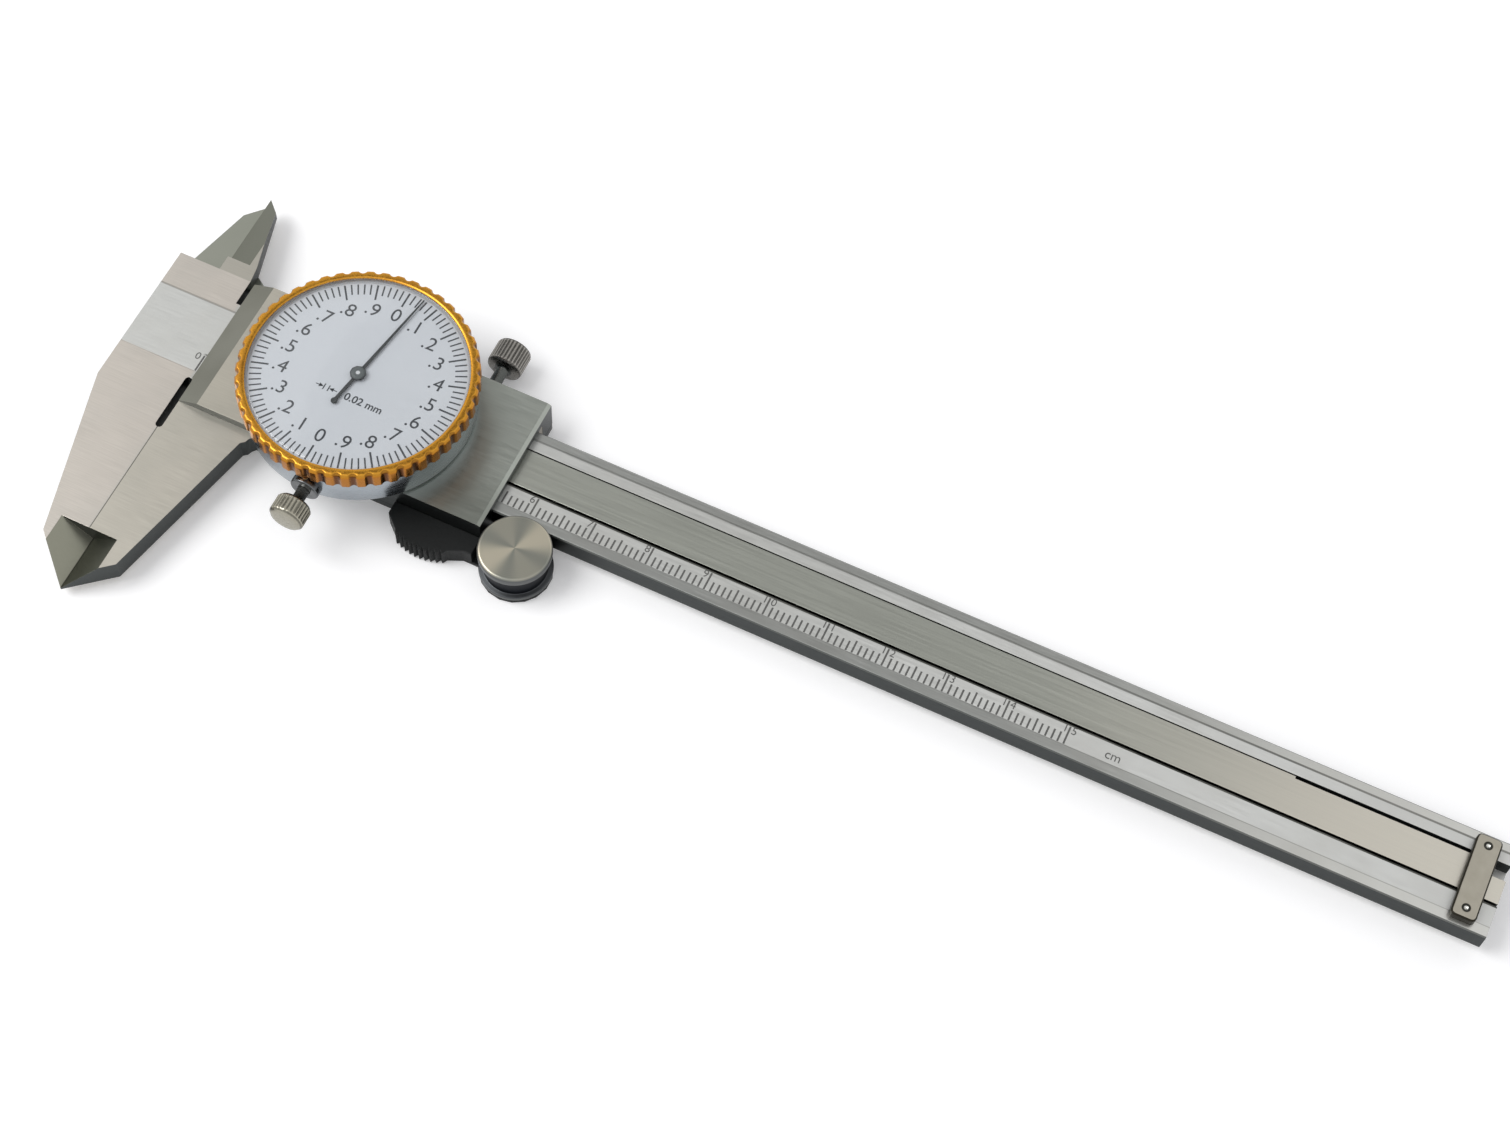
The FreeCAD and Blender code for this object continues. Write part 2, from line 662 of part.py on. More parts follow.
def make_back_plate():
    left = RELIEF_HALF + BACK_INSET
    plate = box(left, SLIDER_RIGHT, -RAIL_LOW, SLIDER_TOP, SLIDER_BACK, RAIL_BOTTOM)
    notch = box(REST_LEFT - SLIDE_GAP, SLIDER_RIGHT, -RAIL_LOW, RAIL_INNER_LOW, SLIDER_BACK, RAIL_BOTTOM)
    holes = [countersink(x, y, SLIDER_BACK, -1) for x, y in back_screw_places()]
    return plate.cut([notch] + holes)


def make_back_plate_screws():
    return [countersunk_screw(x, y, SLIDER_BACK, -1) for x, y in back_screw_places()]


def blade_pin_places():
    y = (BLADE_LOW + BLADE_HIGH) / 2
    reach = SLIDER_RIGHT - BLADE_START
    return [(BLADE_START + reach / 4, y), (BLADE_START + 3 * reach / 4, y)]


def make_depth_blade():
    """Flat blade, raised to the slider's plate at its root and narrowed towards its tip."""
    top = FRONT - BLADE_SINK
    bottom = top - BLADE_T
    bar = box(BLADE_START, BEAM_END, BLADE_LOW, BLADE_HIGH, bottom, top)
    root = box(BLADE_START, SLIDER_RIGHT - RELIEF_W, BLADE_LOW, BLADE_HIGH, top, PLATE_BOTTOM)
    relief = box(BEAM_END - BLADE_RELIEF_LENGTH, BEAM_END, BLADE_HIGH - BLADE_RELIEF, BLADE_HIGH, bottom, top)
    tip = box(BEAM_END - BLADE_TIP_LENGTH, BEAM_END, BLADE_LOW + BLADE_TIP_W, BLADE_HIGH, bottom, top)
    holes = [disc(x, y, BLADE_PIN_R, bottom, PLATE_BOTTOM) for x, y in blade_pin_places()]
    return one_solid(bar.fuse(root).cut([relief, tip] + holes))


def make_blade_pins():
    bottom = FRONT - BLADE_SINK - BLADE_T
    return [disc(x, y, BLADE_PIN_R, bottom, PLATE_BOTTOM + BLADE_PIN_GRIP) for x, y in blade_pin_places()]


def rest_tooth_points():
    """Serrated lower edge of the thumb rest, on a shallow arc."""
    width = REST_TEETH * REST_TOOTH
    start = REST_LEFT + REST_SHOULDER
    low = -RAIL_LOW - REST_DEPTH
    points = []
    for k in range(REST_TEETH):
        for share, lift in ((0.0, REST_TOOTH_DEPTH), (0.5, 0.0)):
            u = (k + share) / REST_TEETH
            sag = REST_SHOULDER / 2 * (2 * u - 1) ** 2
            points.append((start + u * width, low + sag + lift))
    return points + [(start + width, low + REST_SHOULDER / 2 + REST_TOOTH_DEPTH)]


def make_thumb_rest():
    arm_low = -REST_ARM_LOW
    tooth_end = REST_LEFT + REST_SHOULDER + REST_TEETH * REST_TOOTH
    block = prism([(REST_LEFT, -RAIL_LOW - SLIDE_GAP), (REST_LEFT, -RAIL_LOW - REST_SHOULDER)]
                  + rest_tooth_points()
                  + [(tooth_end + REST_SHOULDER, arm_low), (SLIDER_RIGHT, arm_low),
                     (SLIDER_RIGHT, -RAIL_LOW - SLIDE_GAP)], SLIDER_BACK, SLIDER_BACK + REST_T)
    flange = box(REST_LEFT, SLIDER_RIGHT, -RAIL_LOW - REST_SHOULDER, RAIL_INNER_LOW - SLIDE_GAP,
                 SLIDER_BACK, RAIL_BOTTOM)
    arm = box(SLIDER_RIGHT - REST_SHOULDER, WHEEL_X, arm_low, RAIL_INNER_LOW - SLIDE_GAP,
              SLIDER_BACK, ARM_TOP)
    end = disc(WHEEL_X, WHEEL_Y, WHEEL_R, SLIDER_BACK, ARM_TOP)
    rest = block.fuse([flange, arm, end])
    pivot = bore(WHEEL_X, WHEEL_Y, WHEEL_SCREW_R + PIVOT_PLAY, SLIDER_BACK, ARM_TOP)
    sink = bore(WHEEL_X, WHEEL_Y, WHEEL_SCREW_HEAD_R + BEZEL_GAP, SLIDER_BACK, SLIDER_BACK + ARM_T / 2)
    holes = [countersink(x, y, SLIDER_BACK, -1) for x, y in rest_screw_places()]
    return one_solid(rest.cut([pivot, sink] + holes))


def make_thumb_rest_screws():
    return [countersunk_screw(x, y, SLIDER_BACK, -1) for x, y in rest_screw_places()]


# Dial case

def case_screw_places():
    """Two screws over each rail, where the slider is thick enough to hold them."""
    reach = CASE_BORE - 3 * SCREW_HEAD_R
    places = []
    for y in ((RAIL_INNER_LOW - RAIL_LOW) / 2, (RAIL_INNER_HIGH + SLIDER_TOP) / 2):
        dx = math.sqrt(max(reach ** 2 - (y - DIAL_Y) ** 2, (1.5 * SCREW_HEAD_R) ** 2))
        places += [(DIAL_X - dx, y), (DIAL_X + dx, y)]
    return places


def post_places():
    return [(DIAL_X, DIAL_Y - POST_REACH), (DIAL_X, DIAL_Y + POST_REACH)]


def snap_bottom():
    return SHOULDER + SNAP_UP


def make_dial_case():
    foot = PLATE_TOP + CASE_FOOT
    shell = turned(DIAL_X, DIAL_Y, [(0, PLATE_TOP), (CASE_R - CASE_FOOT, PLATE_TOP), (CASE_R, foot),
                                    (CASE_R, SHOULDER), (NECK_R, SHOULDER), (NECK_R, NECK_TOP),
                                    (CASE_BORE, NECK_TOP), (CASE_BORE, FLOOR_TOP), (0, FLOOR_TOP)])
    boss = rod_y(CLAMP_X, CLAMP_Z, CLAMP_BOSS_R, BOSS_END, DIAL_Y - CASE_BORE - CLAMP_BOSS_OUT)
    pad = box(CLAMP_X - CLAMP_PAD_R, CLAMP_X + CLAMP_PAD_R, clamp_pin_y() - CLAMP_PAD_R,
              DIAL_Y - CASE_BORE - CLAMP_PAD_R, CLAMP_Z, SHOULDER)
    shell = shell.fuse(boss).fuse(pad)
    snap = snap_bottom()
    groove = ring(DIAL_X, DIAL_Y, NECK_R - SNAP_DEPTH - SLIDE_GAP, CASE_R + RELIEF_W,
                  snap - SLIDE_GAP, snap + SNAP_T + SLIDE_GAP)
    cuts = [groove,
            bore_y(CLAMP_X, CLAMP_Z, CLAMP_SHANK_R + SLIDE_GAP, BOSS_END, DIAL_Y - CASE_BORE / 2),
            disc(CLAMP_X, clamp_pin_y(), CLAMP_PIN_R + SLIDE_GAP, CLAMP_Z, SHOULDER),
            disc(DRIVE_X, DIAL_Y, BUSH_R, PLATE_TOP, FLOOR_TOP),
            disc(DIAL_X, DIAL_Y, BUSH_R, PLATE_TOP, FLOOR_TOP),
            disc(TAKE_UP_X, DIAL_Y, BUSH_R, PLATE_TOP, FLOOR_TOP)]
    cuts += [countersink(x, y, FLOOR_TOP, 1) for x, y in case_screw_places()]
    return shell.cut(cuts)


def make_case_screws():
    return [countersunk_screw(x, y, FLOOR_TOP, 1) for x, y in case_screw_places()]


def open_ring(r_in, r_out, z0, z1, gap):
    """Ring with a gap on its +X side, so that it can be sprung into its groove."""
    whole = ring(DIAL_X, DIAL_Y, r_in, r_out, z0, z1)
    return whole.cut(box(DIAL_X, DIAL_X + 2 * r_out, DIAL_Y - gap / 2, DIAL_Y + gap / 2, z0, z1))


def make_bezel_snap_ring():
    return open_ring(NECK_R - SNAP_DEPTH, NECK_R + SNAP_DEPTH, snap_bottom(), snap_bottom() + SNAP_T,
                     2 * RELIEF_W)


def clamp_pin_y():
    return DIAL_Y - CASE_R - CLAMP_PIN_R / 4


def clamp_profile():
    """Radius of the clamp screw against Y: tip, taper under the pin, shank, head."""
    pin = clamp_pin_y()
    taper = 2 * CLAMP_PIN_R
    head = BOSS_END - CLAMP_NECK
    return [(0, pin + 3 * taper), (CLAMP_TIP_R, pin + 3 * taper), (CLAMP_TIP_R, pin + taper),
            (CLAMP_SHANK_R, pin - taper), (CLAMP_SHANK_R, head), (CLAMP_HEAD_R * 0.85, head),
            (CLAMP_HEAD_R, head - CLAMP_HEAD_R * 0.15), (CLAMP_HEAD_R, head - 0.85 * CLAMP_HEAD_LENGTH),
            (CLAMP_HEAD_R * 0.85, head - CLAMP_HEAD_LENGTH), (0, head - CLAMP_HEAD_LENGTH)]


def make_bezel_clamp_screw():
    shank = shaft_y(CLAMP_X, CLAMP_Z, CLAMP_SHANK_R, BOSS_END - CLAMP_NECK, clamp_pin_y() - 2 * CLAMP_PIN_R)
    return turned_along_y(CLAMP_X, CLAMP_Z, clamp_profile()).fuse(shank)


def make_bezel_clamp_pin():
    bottom = CLAMP_Z + CLAMP_SHANK_R + SLIDE_GAP
    return disc(CLAMP_X, clamp_pin_y(), CLAMP_PIN_R, bottom, BEZEL_BOTTOM - SLIDE_GAP)


def make_lock_screw():
    tip = GIB_LOW + GIB_T + LOCK_TIP_GAP
    head = SLIDER_TOP + LOCK_NECK
    end = head + LOCK_HEAD_LENGTH
    profile = [(0, tip), (LOCK_SHANK_R - PIVOT_PLAY, tip), (LOCK_SHANK_R - PIVOT_PLAY, head),
               (LOCK_HEAD_R * 0.8, head), (LOCK_HEAD_R, head + LOCK_HEAD_R * 0.15),
               (LOCK_HEAD_R, end - LOCK_HEAD_R * 0.2), (LOCK_HEAD_R * 0.8, end), (0, end)]
    shank = shaft_y(LOCK_X, 0, LOCK_SHANK_R - PIVOT_PLAY, tip, head)
    return turned_along_y(LOCK_X, 0, profile).fuse(shank)


# Bezel body

def make_bezel():
    crown = BEZEL_TOP - BEZEL_CROWN
    lip = BEZEL_TOP - BEZEL_LIP
    snap = snap_bottom()
    outline = []
    for k in range(FLUTES):
        step = 2 * math.pi / FLUTES
        crest = FLUTE_CREST / (2 * BEZEL_R)
        for r, a in ((BEZEL_R, -crest), (BEZEL_R, crest), (BEZEL_R - FLUTE_DEPTH, step / 2)):
            angle = step * k + a
            outline.append((DIAL_X + r * math.cos(angle), DIAL_Y + r * math.sin(angle)))
    outside = turned(DIAL_X, DIAL_Y, [(0, BEZEL_BOTTOM), (BEZEL_R + RELIEF_W, BEZEL_BOTTOM),
                                      (BEZEL_R + RELIEF_W, crown - RELIEF_W),
                                      (BEZEL_R - BEZEL_CROWN, BEZEL_TOP), (0, BEZEL_TOP)])
    low = snap - BEZEL_GAP
    high = snap + SNAP_T + BEZEL_GAP
    groove_r = BEZEL_BORE + SNAP_DEPTH
    inside = turned(DIAL_X, DIAL_Y, [(0, BEZEL_BOTTOM), (BEZEL_BORE, BEZEL_BOTTOM), (BEZEL_BORE, low),
                                     (groove_r, low), (groove_r, high), (BEZEL_BORE, high),
                                     (BEZEL_BORE, lip), (BEZEL_LIP_R, lip), (BEZEL_LIP_R, BEZEL_TOP),
                                     (0, BEZEL_TOP)])
    return prism(outline, BEZEL_BOTTOM, BEZEL_TOP).common(outside).cut(inside)


def make_crystal():
    under = BEZEL_TOP - CRYSTAL_DOME
    top = under + CRYSTAL_T
    rim = BEZEL_LIP_R - BEZEL_GAP
    inner = rim - CRYSTAL_SKIRT
    lip = BEZEL_TOP - BEZEL_LIP
    return turned(DIAL_X, DIAL_Y, [(0, under), (inner, under), (inner, CRYSTAL_BASE),
                                   (BEZEL_BORE, CRYSTAL_BASE), (BEZEL_BORE, lip), (rim, lip),
                                   (rim, BEZEL_TOP - SLIDE_GAP), (rim - CRYSTAL_T, top), (0, top)])


def make_dial_face():
    face = disc(DIAL_X, DIAL_Y, BEZEL_BORE, DIAL_TOP - DIAL_T, DIAL_TOP)
    return face.cut(shaft(DIAL_X, DIAL_Y, DIAL_HOLE, DIAL_TOP - DIAL_T, DIAL_TOP))


def make_dial_retaining_ring():
    top = DIAL_TOP - DIAL_T
    return open_ring(CASE_BORE, BEZEL_BORE, top - RETAINER_T, top, RELIEF_W)


# Movement

def make_bush(x, low, hole_r):
    outer = disc(x, DIAL_Y, BUSH_R, low, FLOOR_TOP).fuse(disc(x, DIAL_Y, BUSH_FLANGE_R, FLOOR_TOP, BUSH_TOP))
    return one_solid(outer).cut(bore(x, DIAL_Y, hole_r, low, BUSH_TOP))


def make_pinion_bush():
    return make_bush(DRIVE_X, PLATE_BOTTOM + SLIDE_GAP, ARBOR_R + PIVOT_PLAY)


def make_centre_bush():
    return make_bush(DIAL_X, PLATE_TOP, PIVOT_R + PIVOT_PLAY)


def make_take_up_bush():
    return make_bush(TAKE_UP_X, PLATE_TOP, PIVOT_R + PIVOT_PLAY)


def make_movement_bridge():
    half = BRIDGE_W / 2
    left = DRIVE_X - half
    right = TAKE_UP_X + SPRING_R + half
    bar = rounded_plate(left, right, DIAL_Y - half, DIAL_Y + half, BRIDGE_BOTTOM, BRIDGE_TOP, half * 0.9)
    cross_bar = box(DIAL_X - half, DIAL_X + half, DIAL_Y - POST_REACH, DIAL_Y + POST_REACH,
                    BRIDGE_BOTTOM, BRIDGE_TOP)
    ends = [disc(x, y, half, BRIDGE_BOTTOM, BRIDGE_TOP) for x, y in post_places()]
    bridge = bar.fuse([cross_bar] + ends)
    holes = [bore(x, DIAL_Y, PIVOT_R + PIVOT_PLAY, BRIDGE_BOTTOM, BRIDGE_TOP)
             for x in (DRIVE_X, DIAL_X, TAKE_UP_X)]
    holes += [disc(x, y, SCREW_R, BRIDGE_BOTTOM, BRIDGE_TOP) for x, y in post_places()]
    return one_solid(bridge.cut(holes))


def make_bridge_posts():
    posts = []
    for x, y in post_places():
        post = disc(x, y, POST_R, FLOOR_TOP, BRIDGE_BOTTOM)
        posts.append(post.cut(disc(x, y, SCREW_R, BRIDGE_BOTTOM - SCREW_LENGTH, BRIDGE_BOTTOM)))
    return posts


def make_bridge_screws():
    screws = []
    for x, y in post_places():
        head = disc(x, y, SCREW_HEAD_R, BRIDGE_TOP, BRIDGE_TOP + SCREW_HEAD)
        shank = disc(x, y, SCREW_R, BRIDGE_BOTTOM - SCREW_LENGTH + SLIDE_GAP, BRIDGE_TOP)
        half = SCREW_SLOT / 2
        groove = box(x - SCREW_HEAD_R, x + SCREW_HEAD_R, y - half, y + half,
                     BRIDGE_TOP + SCREW_HEAD - SCREW_SLOT, BRIDGE_TOP + SCREW_HEAD)
        screws.append(one_solid(head.fuse(shank)).cut(groove))
    return screws


def make_rack_pinion():
    """Arbor with the pinion that runs on the rack; a gap faces the rack's tooth at rest."""
    gap = math.radians(90) + math.pi / PINION_TEETH
    top = PINION_BOTTOM + PINION_W
    teeth = gear(DRIVE_X, DIAL_Y, PINION_TEETH, RACK_MODULE, gap, PINION_BOTTOM, top)
    parts = [disc(DRIVE_X, DIAL_Y, COLLAR_R, top, PLATE_BOTTOM - SLIDE_GAP),
             disc(DRIVE_X, DIAL_Y, ARBOR_R, PLATE_BOTTOM - SLIDE_GAP, BRIDGE_BOTTOM - SLIDE_GAP),
             shaft(DRIVE_X, DIAL_Y, PIVOT_R, BRIDGE_BOTTOM - SLIDE_GAP, BRIDGE_TOP)]
    return one_solid(teeth.fuse(parts))


def make_drive_wheel():
    teeth = gear(DRIVE_X, DIAL_Y, WHEEL_TEETH, TRAIN_MODULE, 0, LOW_WHEEL, LOW_WHEEL + WHEEL_T)
    return teeth.cut(disc(DRIVE_X, DIAL_Y, ARBOR_R, LOW_WHEEL, LOW_WHEEL + WHEEL_T))


def centre_phase():
    return math.pi + math.pi / CENTRE_TEETH


def make_centre_pinion():
    """Arbor of the pointer; its pinion has a gap towards the drive wheel."""
    phase = centre_phase()
    low = BUSH_TOP + BEZEL_GAP
    high = HIGH_WHEEL + WHEEL_T + BEZEL_GAP
    teeth = gear(DIAL_X, DIAL_Y, CENTRE_TEETH, TRAIN_MODULE, phase, low, high)
    parts = [shaft(DIAL_X, DIAL_Y, PIVOT_R, PLATE_TOP + BEZEL_GAP, low),
             disc(DIAL_X, DIAL_Y, ARBOR_R, high, BRIDGE_BOTTOM - SLIDE_GAP),
             disc(DIAL_X, DIAL_Y, PIVOT_R, BRIDGE_BOTTOM - SLIDE_GAP, DIAL_TOP + POINTER_UP + HUB_H / 2)]
    return one_solid(teeth.fuse(parts))


def take_up_phase():
    """Angle of a take-up wheel tooth, so that it stands in the centre pinion's nearest gap."""
    step = 2 * math.pi / CENTRE_TEETH
    off = (centre_phase() + step / 2) % step
    nearest = off - step if off > step / 2 else off
    return math.pi - nearest * CENTRE_TEETH / WHEEL_TEETH


def make_take_up_arbor():
    parts = [disc(TAKE_UP_X, DIAL_Y, ARBOR_R, BUSH_TOP + BEZEL_GAP, BRIDGE_BOTTOM - SLIDE_GAP),
             shaft(TAKE_UP_X, DIAL_Y, PIVOT_R, BRIDGE_BOTTOM - SLIDE_GAP, BRIDGE_TOP)]
    low = disc(TAKE_UP_X, DIAL_Y, PIVOT_R, PLATE_TOP + BEZEL_GAP, BUSH_TOP + BEZEL_GAP)
    return one_solid(low.fuse(parts))


def make_take_up_wheel():
    teeth = gear(TAKE_UP_X, DIAL_Y, WHEEL_TEETH, TRAIN_MODULE, take_up_phase(), HIGH_WHEEL,
                 HIGH_WHEEL + WHEEL_T)
    return teeth.cut(disc(TAKE_UP_X, DIAL_Y, ARBOR_R, HIGH_WHEEL, HIGH_WHEEL + WHEEL_T))


def make_hairspring_collet():
    return ring(TAKE_UP_X, DIAL_Y, ARBOR_R, COLLET_R, HIGH_WHEEL + WHEEL_T, SPRING_BOTTOM + SPRING_W)


def spiral(offset):
    """Points of the hairspring's centre line, moved sideways by offset."""
    inner = COLLET_R + SPRING_T
    steps = 12 * SPRING_TURNS
    points = []
    for k in range(steps + 1):
        u = k / steps
        r = inner + (SPRING_R - inner) * u + offset
        a = 2 * math.pi * SPRING_TURNS * u
        points.append((TAKE_UP_X + r * math.cos(a), DIAL_Y + r * math.sin(a)))
    return points


def make_hairspring():
    outline = spiral(SPRING_T / 2) + list(reversed(spiral(-SPRING_T / 2)))
    return prism(outline, SPRING_BOTTOM, SPRING_BOTTOM + SPRING_W)


def make_hairspring_stud():
    """Post under the bridge that holds the spring's outer end in a slot."""
    stud = disc(TAKE_UP_X + SPRING_R, DIAL_Y, STUD_R, SPRING_BOTTOM, BRIDGE_BOTTOM)
    return stud.cut(make_hairspring())


def make_pointer():
    """Slim tapered hand with a round-ended tail, turned to where it stands with the jaws closed."""
    half = POINTER_W / 2
    z0 = DIAL_TOP + POINTER_UP
    z1 = z0 + POINTER_T
    blade = prism([(-half, -POINTER_TAIL), (half, -POINTER_TAIL), (half, 0), (half / 3, POINTER_REACH),
                   (-half / 3, POINTER_REACH), (-half, 0)], z0, z1)
    eye = disc(0, 0, HUB_R * 0.8, z0, z1)
    tail = disc(0, -POINTER_TAIL, POINTER_W, z0, z1)
    hand = one_solid(blade.fuse([eye, tail]))
    hand.rotate(V(0, 0, 0), V(0, 0, 1), -POINTER_ANGLE)
    hand.translate(V(DIAL_X, DIAL_Y, 0))
    return hand.cut(disc(DIAL_X, DIAL_Y, PIVOT_R, z0, z1))


def make_pointer_hub():
    z0 = DIAL_TOP + POINTER_UP + POINTER_T
    dome = turned(DIAL_X, DIAL_Y, [(0, z0), (HUB_R, z0), (HUB_R, z0 + HUB_H * 0.5),
                                   (HUB_R * 0.6, z0 + HUB_H * 0.75), (0, z0 + HUB_H * 0.75)])
    return dome.cut(disc(DIAL_X, DIAL_Y, PIVOT_R, z0, DIAL_TOP + POINTER_UP + HUB_H / 2))


# Thumb wheel body

def make_thumb_wheel():
    """Spool that straddles the beam's lower edge and rolls on its neck."""
    top = FRONT + SLIDE_GAP + WHEEL_TOP_T
    upper = FRONT + 3 * SLIDE_GAP
    lower = REAR - 3 * SLIDE_GAP
    bottom = ARM_TOP + SLIDE_GAP
    spool = turned(WHEEL_X, WHEEL_Y, [(0, bottom), (WHEEL_R, bottom), (WHEEL_R, lower), (WHEEL_NECK_R, lower),
                                      (WHEEL_NECK_R, upper), (WHEEL_R, upper), (WHEEL_R, top - WHEEL_CHAMFER),
                                      (WHEEL_R - WHEEL_CHAMFER, top), (0, top)])
    sides = sides_for(WHEEL_SCREW_HEAD_R)
    return spool.cut(disc(WHEEL_X, WHEEL_Y, WHEEL_SCREW_R, bottom, bottom + WHEEL_SCREW_GRIP, sides))


def make_thumb_wheel_screw():
    head_top = SLIDER_BACK + ARM_T / 2 - SLIDE_GAP
    grip = ARM_TOP + WHEEL_SCREW_GRIP
    screw = turned(WHEEL_X, WHEEL_Y, [(0, SLIDER_BACK), (WHEEL_SCREW_HEAD_R, SLIDER_BACK),
                                      (WHEEL_SCREW_HEAD_R, head_top), (WHEEL_SCREW_R, head_top),
                                      (WHEEL_SCREW_R, grip), (0, grip)])
    screw = screw.fuse(shaft(WHEEL_X, WHEEL_Y, WHEEL_SCREW_R, head_top, ARM_TOP + SLIDE_GAP))
    half = SCREW_SLOT / 2
    return screw.cut(box(WHEEL_X - WHEEL_SCREW_HEAD_R, WHEEL_X + WHEEL_SCREW_HEAD_R, WHEEL_Y - half,
                         WHEEL_Y + half, SLIDER_BACK, SLIDER_BACK + SCREW_SLOT / 2))


MAKERS = {
    "beam": make_beam,
    "rack": make_rack,
    "rack_pins": make_rack_pins,
    "stop_plate": make_stop_plate,
    "stop_plate_pins": make_stop_plate_pins,
    "slider_frame": make_slider_frame,
    "gib_strip": make_gib_strip,
    "gib_set_screws": make_gib_set_screws,
    "back_plate": make_back_plate,
    "back_plate_screws": make_back_plate_screws,
    "depth_blade": make_depth_blade,
    "blade_pins": make_blade_pins,
    "thumb_rest": make_thumb_rest,
    "thumb_rest_screws": make_thumb_rest_screws,
    "dial_case": make_dial_case,
    "case_screws": make_case_screws,
    "bezel_snap_ring": make_bezel_snap_ring,
    "bezel_clamp_pin": make_bezel_clamp_pin,
    "bezel_clamp_screw": make_bezel_clamp_screw,
    "lock_screw": make_lock_screw,
    "bezel": make_bezel,
    "crystal": make_crystal,
    "dial_face": make_dial_face,
    "dial_retaining_ring": make_dial_retaining_ring,
    "pinion_bush": make_pinion_bush,
    "centre_bush": make_centre_bush,
    "take_up_bush": make_take_up_bush,
    "movement_bridge": make_movement_bridge,
    "bridge_posts": make_bridge_posts,
    "bridge_screws": make_bridge_screws,
    "rack_pinion": make_rack_pinion,
    "drive_wheel": make_drive_wheel,
    "centre_pinion": make_centre_pinion,
    "take_up_arbor": make_take_up_arbor,
    "take_up_wheel": make_take_up_wheel,
    "hairspring_collet": make_hairspring_collet,
    "hairspring": make_hairspring,
    "hairspring_stud": make_hairspring_stud,
    "pointer": make_pointer,
    "pointer_hub": make_pointer_hub,
    "thumb_wheel": make_thumb_wheel,
    "thumb_wheel_screw": make_thumb_wheel_screw,
}

os.makedirs("parts", exist_ok=True)
for node, maker in MAKERS.items():
    made = maker()
    shape = Part.makeCompound(made) if isinstance(made, list) else made
    shape.exportStep("parts/" + node + ".step")
    print(node, "solids", len(shape.Solids), "volume", round(shape.Volume, 3), "valid", shape.isValid())
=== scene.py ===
import json

import bpy
import numpy as np
from mathutils import Matrix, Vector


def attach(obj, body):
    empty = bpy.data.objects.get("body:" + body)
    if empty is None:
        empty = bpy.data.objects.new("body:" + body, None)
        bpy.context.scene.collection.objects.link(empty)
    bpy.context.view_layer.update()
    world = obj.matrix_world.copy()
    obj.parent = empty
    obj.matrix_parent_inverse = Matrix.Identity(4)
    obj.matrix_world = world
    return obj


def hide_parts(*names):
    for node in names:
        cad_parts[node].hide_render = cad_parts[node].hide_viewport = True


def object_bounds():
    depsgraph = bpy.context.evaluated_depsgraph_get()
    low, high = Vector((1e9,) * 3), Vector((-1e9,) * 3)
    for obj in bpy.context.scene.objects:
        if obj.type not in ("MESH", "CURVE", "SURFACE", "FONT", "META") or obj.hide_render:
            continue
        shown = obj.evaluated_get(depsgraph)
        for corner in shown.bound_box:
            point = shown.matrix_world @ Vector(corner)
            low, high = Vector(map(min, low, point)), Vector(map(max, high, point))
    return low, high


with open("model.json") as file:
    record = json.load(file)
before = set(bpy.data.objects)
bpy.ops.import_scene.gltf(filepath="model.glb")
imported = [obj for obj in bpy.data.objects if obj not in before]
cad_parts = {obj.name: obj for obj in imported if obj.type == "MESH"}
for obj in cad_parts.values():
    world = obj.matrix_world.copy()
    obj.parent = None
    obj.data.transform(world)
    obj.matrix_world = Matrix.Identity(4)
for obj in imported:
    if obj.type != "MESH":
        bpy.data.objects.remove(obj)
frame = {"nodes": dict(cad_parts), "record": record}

CAD_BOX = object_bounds()
MM = 0.001
DIAL = np.array([27.2, 8.0])
BEAM_FRONT = 2.0
DIAL_TOP = 11.12
SKY_LIGHT = 0.66
FLOOR_LIFT = 0.16


# Meshes from arrays

def add_piece(name, points, faces, body, material, smooth=True):
    """Mesh object from an array of points in millimetres and a list of faces, riding on a body."""
    mesh = bpy.data.meshes.new(name)
    mesh.from_pydata((np.asarray(points, float) * MM).tolist(), [], [list(f) for f in faces])
    mesh.polygons.foreach_set("use_smooth", [smooth] * len(mesh.polygons))
    mesh.update()
    mesh.validate()
    mesh.materials.append(material)
    piece = bpy.data.objects.new(name, mesh)
    bpy.context.scene.collection.objects.link(piece)
    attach(piece, body)
    return piece


def rounded_profile(corners, cut, steps=4, closed=True):
    """Each corner P becomes the curve (1-s)^2 A + 2s(1-s) P + s^2 B, where A and B lie the length
    cut away from P towards its neighbours, or a third of that side if it is short."""
    p = np.array(corners, float)
    before = np.roll(p, 1, axis=0) - p
    after = np.roll(p, -1, axis=0) - p
    reach_before = np.linalg.norm(before, axis=1, keepdims=True) + 1e-9
    reach_after = np.linalg.norm(after, axis=1, keepdims=True) + 1e-9
    a = p + before / reach_before * np.minimum(cut, reach_before / 3)
    b = p + after / reach_after * np.minimum(cut, reach_after / 3)
    if not closed:
        a[0] = b[0] = p[0]
        a[-1] = b[-1] = p[-1]
    s = np.linspace(0, 1, steps)[None, :, None]
    curve = (1 - s) ** 2 * a[:, None] + 2 * s * (1 - s) * p[:, None] + s ** 2 * b[:, None]
    points = curve.reshape(-1, 2)
    if closed:
        return points
    return np.vstack([p[0], points[steps:-steps], p[-1]])


